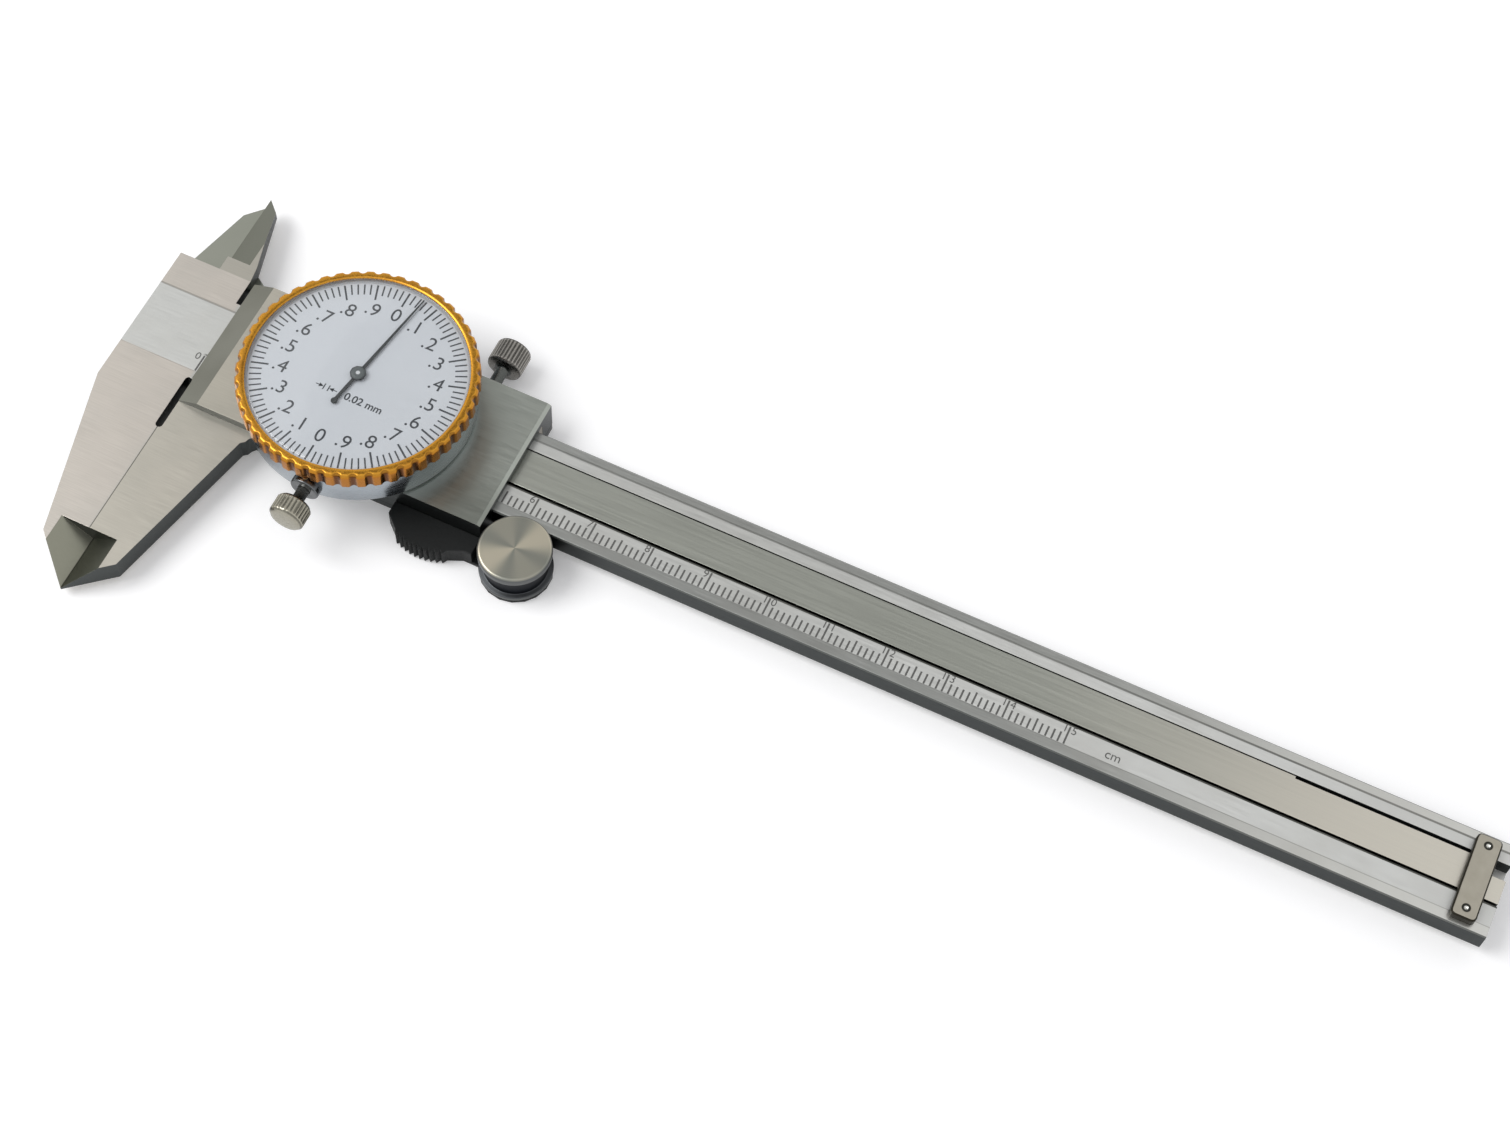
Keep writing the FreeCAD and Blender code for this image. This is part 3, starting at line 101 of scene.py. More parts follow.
def lathe(profile, steps, shrink=None, closed=True):
    """Surface r(v) (cos u, sin u) at height z(v): the profile turned once round the axis.
    shrink(u, r, z) is taken off the radius. An open profile starts and ends on the axis,
    where one point closes each pole."""
    prof = np.asarray(profile, float)
    u = np.linspace(0, 2 * np.pi, steps, endpoint=False)
    ends = [] if closed else [prof[0], prof[-1]]
    rows = prof if closed else prof[1:-1]
    r = np.repeat(rows[:, 0][:, None], steps, axis=1)
    z = np.repeat(rows[:, 1][:, None], steps, axis=1)
    if shrink is not None:
        r = r - shrink(u[None, :], r, z)
    points = np.stack([r * np.cos(u), r * np.sin(u), z], axis=-1).reshape(-1, 3)
    count = len(rows)
    i = np.arange(count if closed else count - 1)[:, None]
    j = np.arange(steps)[None, :]
    n = (i + 1) % count
    k = (j + 1) % steps
    quads = np.stack([i * steps + j, i * steps + k, n * steps + k, n * steps + j], axis=-1)
    faces = quads.reshape(-1, 4).tolist()
    if not closed:
        first = len(points)
        points = np.vstack([points, [0, 0, ends[0][1]], [0, 0, ends[1][1]]])
        ring = np.arange(steps)
        turn = np.roll(ring, -1)
        last = (count - 1) * steps
        faces += [[first, t, c] for c, t in zip(ring.tolist(), turn.tolist())]
        faces += [[last + c, last + t, first + 1] for c, t in zip(ring.tolist(), turn.tolist())]
    return points, faces


def put_up(points, x, y, z=0.0):
    """Moves a form turned round the Z axis to (x, y, z)."""
    return points + np.array([x, y, z])


def lay_along_y(points, x, z):
    """Turns a form made round the Z axis so that its axis is Y through (x, z): (a, b, c) to (a, c, -b)."""
    return np.stack([points[:, 0] + x, points[:, 2], z - points[:, 1]], axis=-1)


def bars(centres, lengths, widths, angles, z0, z1):
    """Flat bars: each has its centre, length, width and direction, and stands from z0 to z1."""
    centres = np.asarray(centres, float)
    half = np.stack([np.asarray(lengths, float) / 2, np.asarray(widths, float) / 2], axis=-1)
    signs = np.array([[-1, -1], [1, -1], [1, 1], [-1, 1]], float)
    flat = signs[None] * half[:, None]
    c = np.cos(angles)[:, None]
    s = np.sin(angles)[:, None]
    x = centres[:, None, 0] + flat[..., 0] * c - flat[..., 1] * s
    y = centres[:, None, 1] + flat[..., 0] * s + flat[..., 1] * c
    low = np.stack([x, y, np.full_like(x, z0)], axis=-1)
    high = np.stack([x, y, np.full_like(x, z1)], axis=-1)
    points = np.concatenate([low, high], axis=1).reshape(-1, 3)
    one = np.array([[3, 2, 1, 0], [4, 5, 6, 7], [0, 1, 5, 4], [1, 2, 6, 5], [2, 3, 7, 6], [3, 0, 4, 7]])
    faces = (np.arange(len(centres))[:, None, None] * 8 + one[None]).reshape(-1, 4)
    return points, faces.tolist()


def letters(words, z0, z1):
    """Points and faces of upright text: each word has its text, centre, height and the extra thickness of
    its strokes.
    """
    points = []
    faces = []
    for text, x, y, height, thick in words:
        curve = bpy.data.curves.new("word", "FONT")
        curve.body = text
        curve.align_x = "CENTER"
        curve.align_y = "CENTER"
        curve.size = height / 0.7 * MM
        curve.offset = thick * MM
        curve.extrude = (z1 - z0) / 2 * MM
        holder = bpy.data.objects.new("word", curve)
        bpy.context.scene.collection.objects.link(holder)
        bpy.context.view_layer.update()
        mesh = bpy.data.meshes.new_from_object(holder)
        co = np.zeros(len(mesh.vertices) * 3)
        mesh.vertices.foreach_get("co", co)
        co = co.reshape(-1, 3) / MM + np.array([x, y, (z0 + z1) / 2])
        start = sum(len(p) for p in points)
        points.append(co)
        faces += [[start + v for v in f.vertices] for f in mesh.polygons]
        bpy.data.objects.remove(holder)
        bpy.data.meshes.remove(mesh)
    return np.vstack(points), faces


# Node materials

class Finish:
    """One procedural material: its nodes, its shader and short words for the sums between them."""

    def __init__(self, name, colour, metallic, roughness):
        self.material = bpy.data.materials.new(name)
        self.material.use_nodes = True
        self.tree = self.material.node_tree
        self.shader = self.tree.nodes["Principled BSDF"]
        self.shader.inputs["Base Color"].default_value = (*colour, 1)
        self.shader.inputs["Metallic"].default_value = metallic
        self.shader.inputs["Roughness"].default_value = roughness
        self.place = self.tree.nodes.new("ShaderNodeTexCoord").outputs["Object"]

    def join(self, source, target):
        self.tree.links.new(source, target)

    def axis(self, letter):
        split = self.tree.nodes.new("ShaderNodeSeparateXYZ")
        self.join(self.place, split.inputs[0])
        return split.outputs[letter]

    def facing(self, letter):
        normal = self.tree.nodes.new("ShaderNodeNewGeometry").outputs["Normal"]
        split = self.tree.nodes.new("ShaderNodeSeparateXYZ")
        self.join(normal, split.inputs[0])
        return split.outputs[letter]

    def sum(self, operation, a, b):
        node = self.tree.nodes.new("ShaderNodeMath")
        node.operation = operation
        for value, socket in ((a, node.inputs[0]), (b, node.inputs[1])):
            if isinstance(value, (int, float)):
                socket.default_value = value
            else:
                self.join(value, socket)
        return node.outputs[0]

    def ramp(self, value, low, high, out_low=0.0, out_high=1.0):
        node = self.tree.nodes.new("ShaderNodeMapRange")
        node.interpolation_type = "SMOOTHSTEP"
        self.join(value, node.inputs["Value"])
        limits = {"From Min": low, "From Max": high, "To Min": out_low, "To Max": out_high}
        for socket, number in limits.items():
            node.inputs[socket].default_value = number
        return node.outputs[0]

    def between(self, value, low, high, soft):
        rise = self.ramp(value, low - soft, low + soft)
        fall = self.ramp(value, high - soft, high + soft, 1.0, 0.0)
        return self.sum("MULTIPLY", rise, fall)

    def from_axis(self, first, second, a, b):
        """Distance from the line along which both coordinates keep the values a and b."""
        da = self.sum("SUBTRACT", self.axis(first), a * MM)
        db = self.sum("SUBTRACT", self.axis(second), b * MM)
        both = self.sum("ADD", self.sum("MULTIPLY", da, da), self.sum("MULTIPLY", db, db))
        return self.sum("POWER", both, 0.5)

    def grain(self, stretch, detail=3.0):
        """Noise with this many spots to a millimetre along X, Y and Z."""
        mapping = self.tree.nodes.new("ShaderNodeMapping")
        mapping.inputs["Scale"].default_value = [n / MM for n in stretch]
        self.join(self.place, mapping.inputs["Vector"])
        noise = self.tree.nodes.new("ShaderNodeTexNoise")
        noise.inputs["Scale"].default_value = 1.0
        noise.inputs["Detail"].default_value = detail
        self.join(mapping.outputs[0], noise.inputs["Vector"])
        return noise.outputs[0]

    def blend(self, share, a, b):
        node = self.tree.nodes.new("ShaderNodeMix")
        node.data_type = "RGBA"
        self.join(share, node.inputs[0])
        for value, socket in ((a, node.inputs[6]), (b, node.inputs[7])):
            if isinstance(value, tuple):
                socket.default_value = (*value, 1)
            else:
                self.join(value, socket)
        return node.outputs[2]

    def colour(self, value):
        self.join(value, self.shader.inputs["Base Color"])

    def rough(self, value):
        self.join(value, self.shader.inputs["Roughness"])

    def bump(self, value, depth, strength=1.0):
        node = self.tree.nodes.new("ShaderNodeBump")
        node.inputs["Distance"].default_value = depth * MM
        node.inputs["Strength"].default_value = strength
        self.join(value, node.inputs["Height"])
        self.join(node.outputs[0], self.shader.inputs["Normal"])


def shade(colour, factor):
    return tuple(min(1.0, c * factor) for c in colour)


def ground_steel(name, colour, roughness, stretch, spread=0.12, depth=0.004):
    """Plain ground steel: streaks along one direction in tone, gloss and height."""
    finish = Finish(name, colour, 1.0, roughness)
    streak = finish.grain(stretch)
    finish.colour(finish.blend(streak, shade(colour, 1 - spread), shade(colour, 1 + spread)))
    finish.rough(finish.ramp(streak, 0.3, 0.7, roughness - 0.06, roughness + 0.06))
    finish.bump(streak, depth)
    return finish.material


def sides_in_shade(finish, colour, side, low=0.6):
    """The colour on the faces that look up or down, and a darker one on edges and sides."""
    up = finish.sum("ABSOLUTE", finish.facing("Z"), 0.0)
    return finish.blend(finish.ramp(up, low, 0.97), side, colour)


def ground_bevels(finish, colour):
    """The measuring edges are ground. As painted shade, the bevels that look right are painted mid grey and
    those that look left dark.
    The jaws alone have them, so the middle of the width is left as it is."""
    x = finish.facing("X")
    slanted = finish.ramp(finish.facing("Z"), 0.05, 0.2)
    low = finish.ramp(finish.axis("Y"), -9.0 * MM, -8.9 * MM, 1.0, 0.0)
    high = finish.ramp(finish.axis("Y"), 20.5 * MM, 20.6 * MM)
    jaws = finish.sum("MULTIPLY", slanted, finish.sum("ADD", low, high))
    to_right = finish.sum("MULTIPLY", jaws, finish.ramp(x, 0.12, 0.3))
    to_left = finish.sum("MULTIPLY", jaws, finish.ramp(x, -0.3, -0.12, 1.0, 0.0))
    # Painted shade: right-facing bevels mid grey, left-facing bevels dark.
    right = finish.blend(to_right, colour, (0.26, 0.26, 0.21))
    return finish.blend(to_left, right, (0.16, 0.165, 0.135))


def parting_line(finish, colour):
    """Fine dark line along the edges of the measuring faces."""
    near = finish.sum("ABSOLUTE", finish.axis("X"), 0.0)
    low = finish.ramp(finish.axis("Y"), -9.6 * MM, -9.5 * MM, 1.0, 0.0)
    line = finish.sum("MULTIPLY", finish.ramp(near, 0.04 * MM, 0.12 * MM, 0.75, 0.0), low)
    return finish.blend(line, colour, (0.06, 0.06, 0.05))


def beam_steel():
    """Beam: warm satin head, a brighter and duller band along its middle, greyer strips on the bar. The band
    and the strips are painted lighter towards the right end as painted reflection, and painted shade darkens
    the lines along the steps, the edge of the slot and the inside jaws.
    """
    finish = Finish("beam_steel", (0.6, 0.57, 0.53), 1.0, 0.34)
    across = finish.grain((0.15, 6.0, 3.0))
    cloud = finish.grain((0.12, 0.12, 0.12), 2.0)
    x = finish.axis("X")
    y = finish.axis("Y")
    on_bar = finish.ramp(x, -0.5 * MM, 0.5 * MM)
    band = finish.between(y, 1.9 * MM, 14.3 * MM, 0.06 * MM)
    warm = finish.blend(across, (0.50, 0.465, 0.42), (0.64, 0.595, 0.54))
    strip = finish.blend(across, (0.44, 0.45, 0.43), (0.52, 0.53, 0.51))
    # Painted reflection: the strips on the bar are painted lighter towards the right end.
    strip = finish.blend(finish.ramp(x, 140 * MM, 190 * MM), strip, (0.62, 0.62, 0.59))
    edge = finish.blend(on_bar, warm, strip)
    dim = finish.blend(across, (0.46, 0.465, 0.45), (0.55, 0.555, 0.54))
    clear = finish.blend(across, (0.56, 0.565, 0.55), (0.64, 0.645, 0.63))
    # Painted reflection: the middle band is painted lighter towards the right end.
    bright = finish.blend(finish.ramp(x, 90 * MM, 150 * MM), dim, clear)
    front = finish.blend(band, edge, bright)
    # Painted shade: dark lines along the shallow steps at the edges of the band, stronger towards the right
    # end.
    upper_shade_line = finish.between(y, 14.2 * MM, 14.55 * MM, 0.06 * MM)
    lower_shade_line = finish.between(y, 1.75 * MM, 1.88 * MM, 0.05 * MM)
    groove_edge_shadow = finish.between(y, 5.14 * MM, 5.45 * MM, 0.04 * MM)
    lines = finish.sum("MAXIMUM", upper_shade_line, finish.sum("MULTIPLY", lower_shade_line, 0.6))
    front = finish.blend(finish.sum("MULTIPLY", lines, finish.ramp(x, 130 * MM, 185 * MM, 0.5, 0.85)), front,
                         (0.13, 0.13, 0.12))
    # Painted shadow: a near black line where the slot beside the blade lies in shade.
    front = finish.blend(finish.sum("MULTIPLY", groove_edge_shadow, on_bar), front, (0.05, 0.052, 0.045))
    # Painted shade: the inside jaws above y 20.6 are darker.
    front = finish.blend(finish.ramp(y, 20.6 * MM, 20.8 * MM, 0.0, 0.6), front, (0.34, 0.335, 0.285))
    front = finish.blend(finish.ramp(cloud, 0.35, 0.7, 0.0, 0.2), front, (0.42, 0.41, 0.38))
    front = ground_bevels(finish, sides_in_shade(finish, front, (0.024, 0.029, 0.029)))
    finish.colour(parting_line(finish, front))
    dull = finish.sum("MULTIPLY", band, finish.ramp(across, 0.3, 0.7, 0.16, 0.24))
    finish.rough(finish.sum("ADD", finish.ramp(across, 0.3, 0.7, 0.28, 0.36), dull))
    finish.bump(across, 0.002)
    return finish.material


def slider_steel():
    """Slider: warm satin jaws below the plate, a greyer plate above them, dark narrow sides as painted
    shade. The plate goes cooler and darker towards the right as painted reflection, and painted shade
    darkens the plate near the dial case, the reading bevel and the inside jaws.
    """
    finish = Finish("slider_steel", (0.5, 0.5, 0.45), 1.0, 0.36)
    along = finish.grain((0.2, 6.0, 3.0))
    cloud = finish.grain((0.1, 0.1, 0.1), 2.0)
    x = finish.axis("X")
    y = finish.axis("Y")
    warm = finish.blend(along, (0.44, 0.415, 0.355), (0.54, 0.51, 0.44))
    cool = finish.blend(along, (0.36, 0.385, 0.35), (0.45, 0.475, 0.435))
    # Painted reflection: the plate goes from warm to a cooler, darker grey towards the right.
    plate = finish.blend(finish.ramp(x, 8 * MM, 46 * MM), warm, cool)
    # Painted shade: the lower right of the plate, beside the dial case, is darkened.
    corner = finish.ramp(y, -2 * MM, 7 * MM, 0.5, 0.0)
    corner = finish.sum("MULTIPLY", finish.ramp(x, 36 * MM, 52 * MM), corner)
    plate = finish.blend(corner, plate, (0.12, 0.125, 0.105))
    # Painted shade: the reading bevel at the left edge of the plate, below x 4.1, is darker.
    plate = finish.blend(finish.ramp(x, 4.05 * MM, 4.15 * MM), (0.19, 0.19, 0.16), plate)
    jaws = finish.blend(along, (0.46, 0.435, 0.38), (0.56, 0.53, 0.465))
    # Painted shade: the inside jaws above y 20.5 are darker.
    jaws = finish.blend(finish.ramp(y, 20.5 * MM, 20.7 * MM), jaws, (0.30, 0.31, 0.265))
    tone = finish.blend(finish.ramp(finish.axis("Z"), 2.01 * MM, 2.02 * MM), jaws, plate)
    tone = finish.blend(finish.ramp(cloud, 0.35, 0.7, 0.0, 0.2), tone, (0.34, 0.34, 0.3))
    tone = ground_bevels(finish, sides_in_shade(finish, tone, (0.05, 0.056, 0.055)))
    finish.colour(parting_line(finish, tone))
    finish.rough(finish.ramp(along, 0.3, 0.7, 0.3, 0.38))
    finish.bump(along, 0.002)
    return finish.material


def blade_steel():
    """Depth blade: even grey streaks along it, painted warmer and lighter towards its end as painted
    reflection, and nearly black narrow sides as painted shade.
    """
    finish = Finish("blade_steel", (0.52, 0.51, 0.46), 1.0, 0.33)
    along = finish.grain((0.08, 6.0, 3.0))
    cool = finish.blend(along, (0.46, 0.475, 0.425), (0.52, 0.535, 0.48))
    warm = finish.blend(along, (0.57, 0.545, 0.48), (0.65, 0.62, 0.545))
    # Painted reflection: cool grey turns warmer and lighter towards the blade's end.
    tone = finish.blend(finish.ramp(finish.axis("X"), 135 * MM, 195 * MM), cool, warm)
    finish.colour(sides_in_shade(finish, tone, (0.02, 0.022, 0.02)))
    finish.rough(finish.ramp(along, 0.3, 0.7, 0.29, 0.36))
    finish.bump(along, 0.0015)
    return finish.material


def around_pins(finish, colour, dark, light):
    """Darkens the colour near the axes of the two pins, which stand as far from the beam's middle."""
    dx = finish.sum("SUBTRACT", finish.axis("X"), 213.3 * MM)
    half = finish.sum("ABSOLUTE", finish.sum("SUBTRACT", finish.axis("Y"), 8 * MM), 0.0)
    dy = finish.sum("SUBTRACT", half, 5.4 * MM)
    both = finish.sum("ADD", finish.sum("MULTIPLY", dx, dx), finish.sum("MULTIPLY", dy, dy))
    reach = finish.sum("POWER", both, 0.5)
    return finish.blend(finish.ramp(reach, dark * MM, light * MM), (0.03, 0.03, 0.025), colour)


def pin_ends():
    """Pins: a bright dimple in a dark ring."""
    finish = Finish("pin_ends", (0.5, 0.5, 0.47), 1.0, 0.25)
    speck = finish.grain((4.0, 4.0, 4.0))
    dx = finish.sum("SUBTRACT", finish.axis("X"), 213.3 * MM)
    half = finish.sum("ABSOLUTE", finish.sum("SUBTRACT", finish.axis("Y"), 8 * MM), 0.0)
    dy = finish.sum("SUBTRACT", half, 5.4 * MM)
    both = finish.sum("ADD", finish.sum("MULTIPLY", dx, dx), finish.sum("MULTIPLY", dy, dy))
    reach = finish.sum("POWER", both, 0.5)
    bright = finish.blend(speck, (0.62, 0.62, 0.58), (0.8, 0.8, 0.76))
    finish.colour(finish.blend(finish.ramp(reach, 0.26 * MM, 0.36 * MM), bright, (0.05, 0.05, 0.045)))
    finish.rough(finish.ramp(speck, 0.3, 0.7, 0.2, 0.3))
    return finish.material


def stop_steel():
    """Stop plate: warmer and darker satin, with brown sides darkened as painted shade."""
    finish = Finish("stop_steel", (0.42, 0.39, 0.33), 1.0, 0.38)
    cloud = finish.grain((0.6, 0.6, 0.6))
    tone = finish.blend(cloud, (0.34, 0.315, 0.26), (0.46, 0.435, 0.37))
    tone = around_pins(finish, tone, 0.62, 0.78)
    # Painted shade: the sides and rim are near black.
    finish.colour(sides_in_shade(finish, tone, (0.028, 0.026, 0.02), 0.84))
    finish.rough(finish.ramp(cloud, 0.3, 0.7, 0.3, 0.45))
    finish.bump(cloud, 0.006)
    return finish.material


def gold_anodising():
    """Bezel: anodised gold, with painted shade that makes its outer wall brown and darkest in the hollows.
    """
    finish = Finish("gold_anodising", (0.56, 0.26, 0.035), 1.0, 0.3)
    speck = finish.grain((3.0, 3.0, 3.0))
    wave = finish.grain((0.2, 0.2, 0.2), 2.0)
    tone = finish.blend(speck, (0.53, 0.245, 0.028), (0.62, 0.305, 0.04))
    tone = finish.blend(finish.ramp(wave, 0.4, 0.7, 0.0, 0.4), tone, (0.44, 0.18, 0.03))
    reach = finish.from_axis("X", "Y", 27.2, 8.0)
    # Painted shade: on the faces that do not look up, the outer wall is brown and the hollows darkest.
    wall = finish.blend(finish.ramp(reach, 18.8 * MM, 19.05 * MM), (0.12, 0.042, 0.01), (0.40, 0.155, 0.02))
    up = finish.ramp(finish.facing("Z"), 0.25, 0.85)
    outside = finish.ramp(reach, 18.2 * MM, 18.5 * MM)
    low = finish.sum("MULTIPLY", outside, finish.sum("SUBTRACT", 1.0, up))
    finish.colour(finish.blend(low, tone, wall))
    finish.rough(finish.ramp(speck, 0.3, 0.7, 0.24, 0.34))
    finish.bump(speck, 0.002)
    return finish.material


def turned_steel():
    """Wheel: two soft beams of light, as from the fine rings of its end face, are painted highlights, and
    its wall, the flat faces below the end face and most of all the neck are dark with painted shade.
    The share of the beams is ((1 + cos 2(a - a0)) / 2)^4, where a is the angle round the axis."""
    finish = Finish("turned_steel", (0.4, 0.4, 0.37), 1.0, 0.38)
    dx = finish.sum("SUBTRACT", finish.axis("X"), 61.0 * MM)
    dy = finish.sum("SUBTRACT", finish.axis("Y"), -5.12 * MM)
    height = finish.axis("Z")
    reach = finish.from_axis("X", "Y", 61.0, -5.12)
    rings = finish.sum("SINE", finish.sum("MULTIPLY", reach, 2 * np.pi / (0.31 * MM)), 0.0)
    rings = finish.ramp(rings, -1.0, 1.0)
    turn = finish.sum("MULTIPLY", finish.sum("SUBTRACT", finish.sum("ARCTAN2", dy, dx), 0.87), 2.0)
    beams = finish.ramp(finish.sum("COSINE", turn, 0.0), -1.0, 1.0)
    cross = finish.sum("POWER", finish.sum("SUBTRACT", 1.0, beams), 8.0)
    beams = finish.sum("ADD", finish.sum("POWER", beams, 4.0), finish.sum("MULTIPLY", cross, 0.3))
    face = finish.blend(rings, (0.245, 0.25, 0.222), (0.27, 0.275, 0.24))
    # Painted highlight: two soft beams and weaker beams across them on the end face.
    face = finish.blend(beams, face, (0.54, 0.50, 0.40))
    # Painted shade: the flat faces below the end face, under the head, are dark.
    face = finish.blend(finish.ramp(height, 3.0 * MM, 3.1 * MM), (0.09, 0.095, 0.10), face)
    # Painted shadow: the neck between the flanges is near black, and the rest of the wall dark grey.
    neck = finish.between(height, -2.15 * MM, 2.0 * MM, 0.1 * MM)
    wall = finish.blend(neck, (0.11, 0.115, 0.115), (0.012, 0.014, 0.018))
    up = finish.ramp(finish.sum("ABSOLUTE", finish.facing("Z"), 0.0), 0.5, 0.9)
    finish.colour(finish.blend(up, wall, face))
    finish.rough(finish.ramp(rings, 0.0, 1.0, 0.36, 0.42))
    return finish.material


def knurled_steel(name, x, z, ridge, neck_y, light, hollow, neck):
    """Knurled screw: bright ridges, hollows darkened as painted shade, and the given neck colour behind the
    head.
    """
    finish = Finish(name, light, 1.0, 0.3)
    speck = finish.grain((3.0, 3.0, 3.0))
    reach = finish.from_axis("X", "Z", x, z)
    rise = finish.ramp(reach, (ridge - 0.14) * MM, (ridge - 0.03) * MM)
    # Painted shade: the hollows of the knurl are darker than its ridges.
    head = finish.blend(rise, shade(light, hollow), light)
    ends = finish.ramp(finish.sum("ABSOLUTE", finish.facing("Y"), 0.0), 0.6, 0.85)
    head = finish.blend(ends, head, shade(light, 0.8))
    head = finish.blend(finish.ramp(speck, 0.4, 0.7, 0.0, 0.25), head, shade(light, 0.6))
    inner = finish.ramp(reach, 1.4 * MM, 1.6 * MM, 1.0, 0.0)
    side = finish.axis("Y") if neck_y > 0 else finish.sum("MULTIPLY", finish.axis("Y"), -1.0)
    behind = finish.ramp(side, (abs(neck_y) - 0.1) * MM, (abs(neck_y) + 0.1) * MM, 1.0, 0.0)
    finish.colour(finish.blend(finish.sum("MULTIPLY", inner, behind), head, neck))
    finish.rough(finish.ramp(speck, 0.3, 0.7, 0.24, 0.36))
    finish.bump(speck, 0.003)
    return finish.material


def pointer_paint():
    """Pointer: dark lacquer with a lighter hub and a painted highlight on its axis."""
    finish = Finish("pointer_lacquer", (0.03, 0.035, 0.035), 0.0, 0.5)
    speck = finish.grain((5.0, 5.0, 5.0))
    reach = finish.from_axis("X", "Y", 27.2, 8.0)
    dark = finish.blend(speck, (0.022, 0.026, 0.027), (0.04, 0.046, 0.047))
    hub = finish.blend(finish.ramp(reach, 0.95 * MM, 1.25 * MM), (0.10, 0.115, 0.115), dark)
    # Painted highlight: a bright spot on the pointer's axis.
    finish.colour(finish.blend(finish.ramp(reach, 0.26 * MM, 0.4 * MM), (0.62, 0.64, 0.64), hub))
    finish.rough(finish.ramp(speck, 0.3, 0.7, 0.42, 0.55))
    return finish.material


def printed_dial():
    """Dial: cool white lacquer with a faint grain."""
    finish = Finish("dial_lacquer", (0.58, 0.607, 0.634), 0.0, 0.5)
    speck = finish.grain((2.0, 2.0, 2.0))
    finish.colour(finish.blend(speck, (0.56, 0.588, 0.617), (0.60, 0.627, 0.652)))
    finish.rough(finish.ramp(speck, 0.3, 0.7, 0.42, 0.55))
    return finish.material


def printing_ink(name, colour):
    """Ink or paint in an engraved line, a little uneven."""
    finish = Finish(name, colour, 0.0, 0.55)
    speck = finish.grain((5.0, 5.0, 5.0))
    finish.colour(finish.blend(speck, shade(colour, 0.7), shade(colour, 1.4)))
    finish.rough(finish.ramp(speck, 0.3, 0.7, 0.5, 0.65))
    return finish.material


def moulded_black():
    """Black plastic with a fine leather-like grain."""
    finish = Finish("moulded_black", (0.006, 0.007, 0.007), 0.0, 0.5)
    speck = finish.grain((3.5, 3.5, 3.5), 4.0)
    finish.shader.inputs["Specular IOR Level"].default_value = 0.25
    finish.colour(finish.blend(speck, (0.004, 0.005, 0.005), (0.010, 0.011, 0.011)))
    finish.rough(finish.ramp(speck, 0.3, 0.7, 0.45, 0.6))
    finish.bump(speck, 0.02)
    return finish.material


def machined_brass():
    finish = Finish("machined_brass", (0.6, 0.46, 0.24), 1.0, 0.3)
    streak = finish.grain((0.6, 5.0, 5.0))
    finish.colour(finish.blend(streak, (0.50, 0.38, 0.19), (0.66, 0.52, 0.3)))
    finish.rough(finish.ramp(streak, 0.3, 0.7, 0.24, 0.38))
    finish.bump(streak, 0.003)
    return finish.material


def clear_crystal():
    """Crystal: light goes straight through, and the gloss grows with the angle at which it is seen."""
    finish = Finish("clear_crystal", (0.96, 0.98, 1.0), 0.0, 0.03)
    nodes = finish.tree.nodes
    clear = nodes.new("ShaderNodeBsdfTransparent")
    gloss = nodes.new("ShaderNodeBsdfGlossy")
    gloss.inputs["Roughness"].default_value = 0.04
    edge = nodes.new("ShaderNodeLayerWeight")
    edge.inputs["Blend"].default_value = 0.5
    shine = finish.sum("MULTIPLY", finish.sum("POWER", edge.outputs["Facing"], 4.0), 0.4)
    mixed = nodes.new("ShaderNodeMixShader")
    ripple = finish.grain((0.05, 0.05, 0.05), 1.0)
    tint = finish.blend(ripple, (0.985, 0.987, 0.99), (0.993, 0.994, 0.995))
    finish.join(tint, clear.inputs["Color"])
    finish.join(finish.sum("ADD", shine, 0.025), mixed.inputs[0])
    finish.join(clear.outputs[0], mixed.inputs[1])
    finish.join(gloss.outputs[0], mixed.inputs[2])
    finish.join(mixed.outputs[0], nodes["Material Output"].inputs["Surface"])
    return finish.material


FINISHES = {
    "beam_steel": beam_steel(),
    "slider_steel": slider_steel(),
    "satin_steel": ground_steel("satin_steel", (0.5, 0.5, 0.45), 0.34, (0.08, 6.0, 3.0)),
    "depth_blade": blade_steel(),
    "stop_plate": stop_steel(),
    "stop_plate_pins": pin_ends(),
    "turned_steel": turned_steel(),
    "lock_screw": knurled_steel("lock_knurl", 43.3, 0.0, 3.0, 25.0, (0.34, 0.325, 0.30), 0.25,
                                (0.10, 0.105, 0.10)),
    "bezel_clamp_screw": knurled_steel("clamp_knurl", 28.0, 6.5, 2.9, -14.2, (0.42, 0.40, 0.33), 0.38,
                                       (0.28, 0.28, 0.26)),
    "rack_steel": ground_steel("rack_steel", (0.36, 0.36, 0.35), 0.35, (4.0, 4.0, 4.0)),
    "pin_steel": ground_steel("pin_steel", (0.45, 0.45, 0.43), 0.3, (4.0, 4.0, 4.0)),
    "gib_brass": machined_brass(),
    "case_metal": ground_steel("case_metal", (0.34, 0.37, 0.40), 0.24, (0.3, 0.3, 6.0), 0.08, 0.002),
    "clamp_boss": ground_steel("boss_metal", (0.12, 0.125, 0.13), 0.22, (2.0, 2.0, 2.0)),
    "gib_strip": ground_steel("gib_bronze", (0.30, 0.275, 0.225), 0.35, (0.6, 5.0, 5.0)),
    "dial_retaining_ring": printing_ink("ring_paint", (0.30, 0.32, 0.35)),
    "gold_bezel": gold_anodising(),
    "crystal": clear_crystal(),
    "dial_white": printed_dial(),
    "pointer_dark": pointer_paint(),
    "black_plastic": moulded_black(),
}
FINISHES["movement_brass"] = FINISHES["gib_brass"]
FINISHES["knurled_steel"] = FINISHES["bezel_clamp_screw"]
INK = printing_ink("dial_ink", (0.045, 0.05, 0.056))
ENGRAVED = printing_ink("scale_paint", (0.085, 0.085, 0.08))


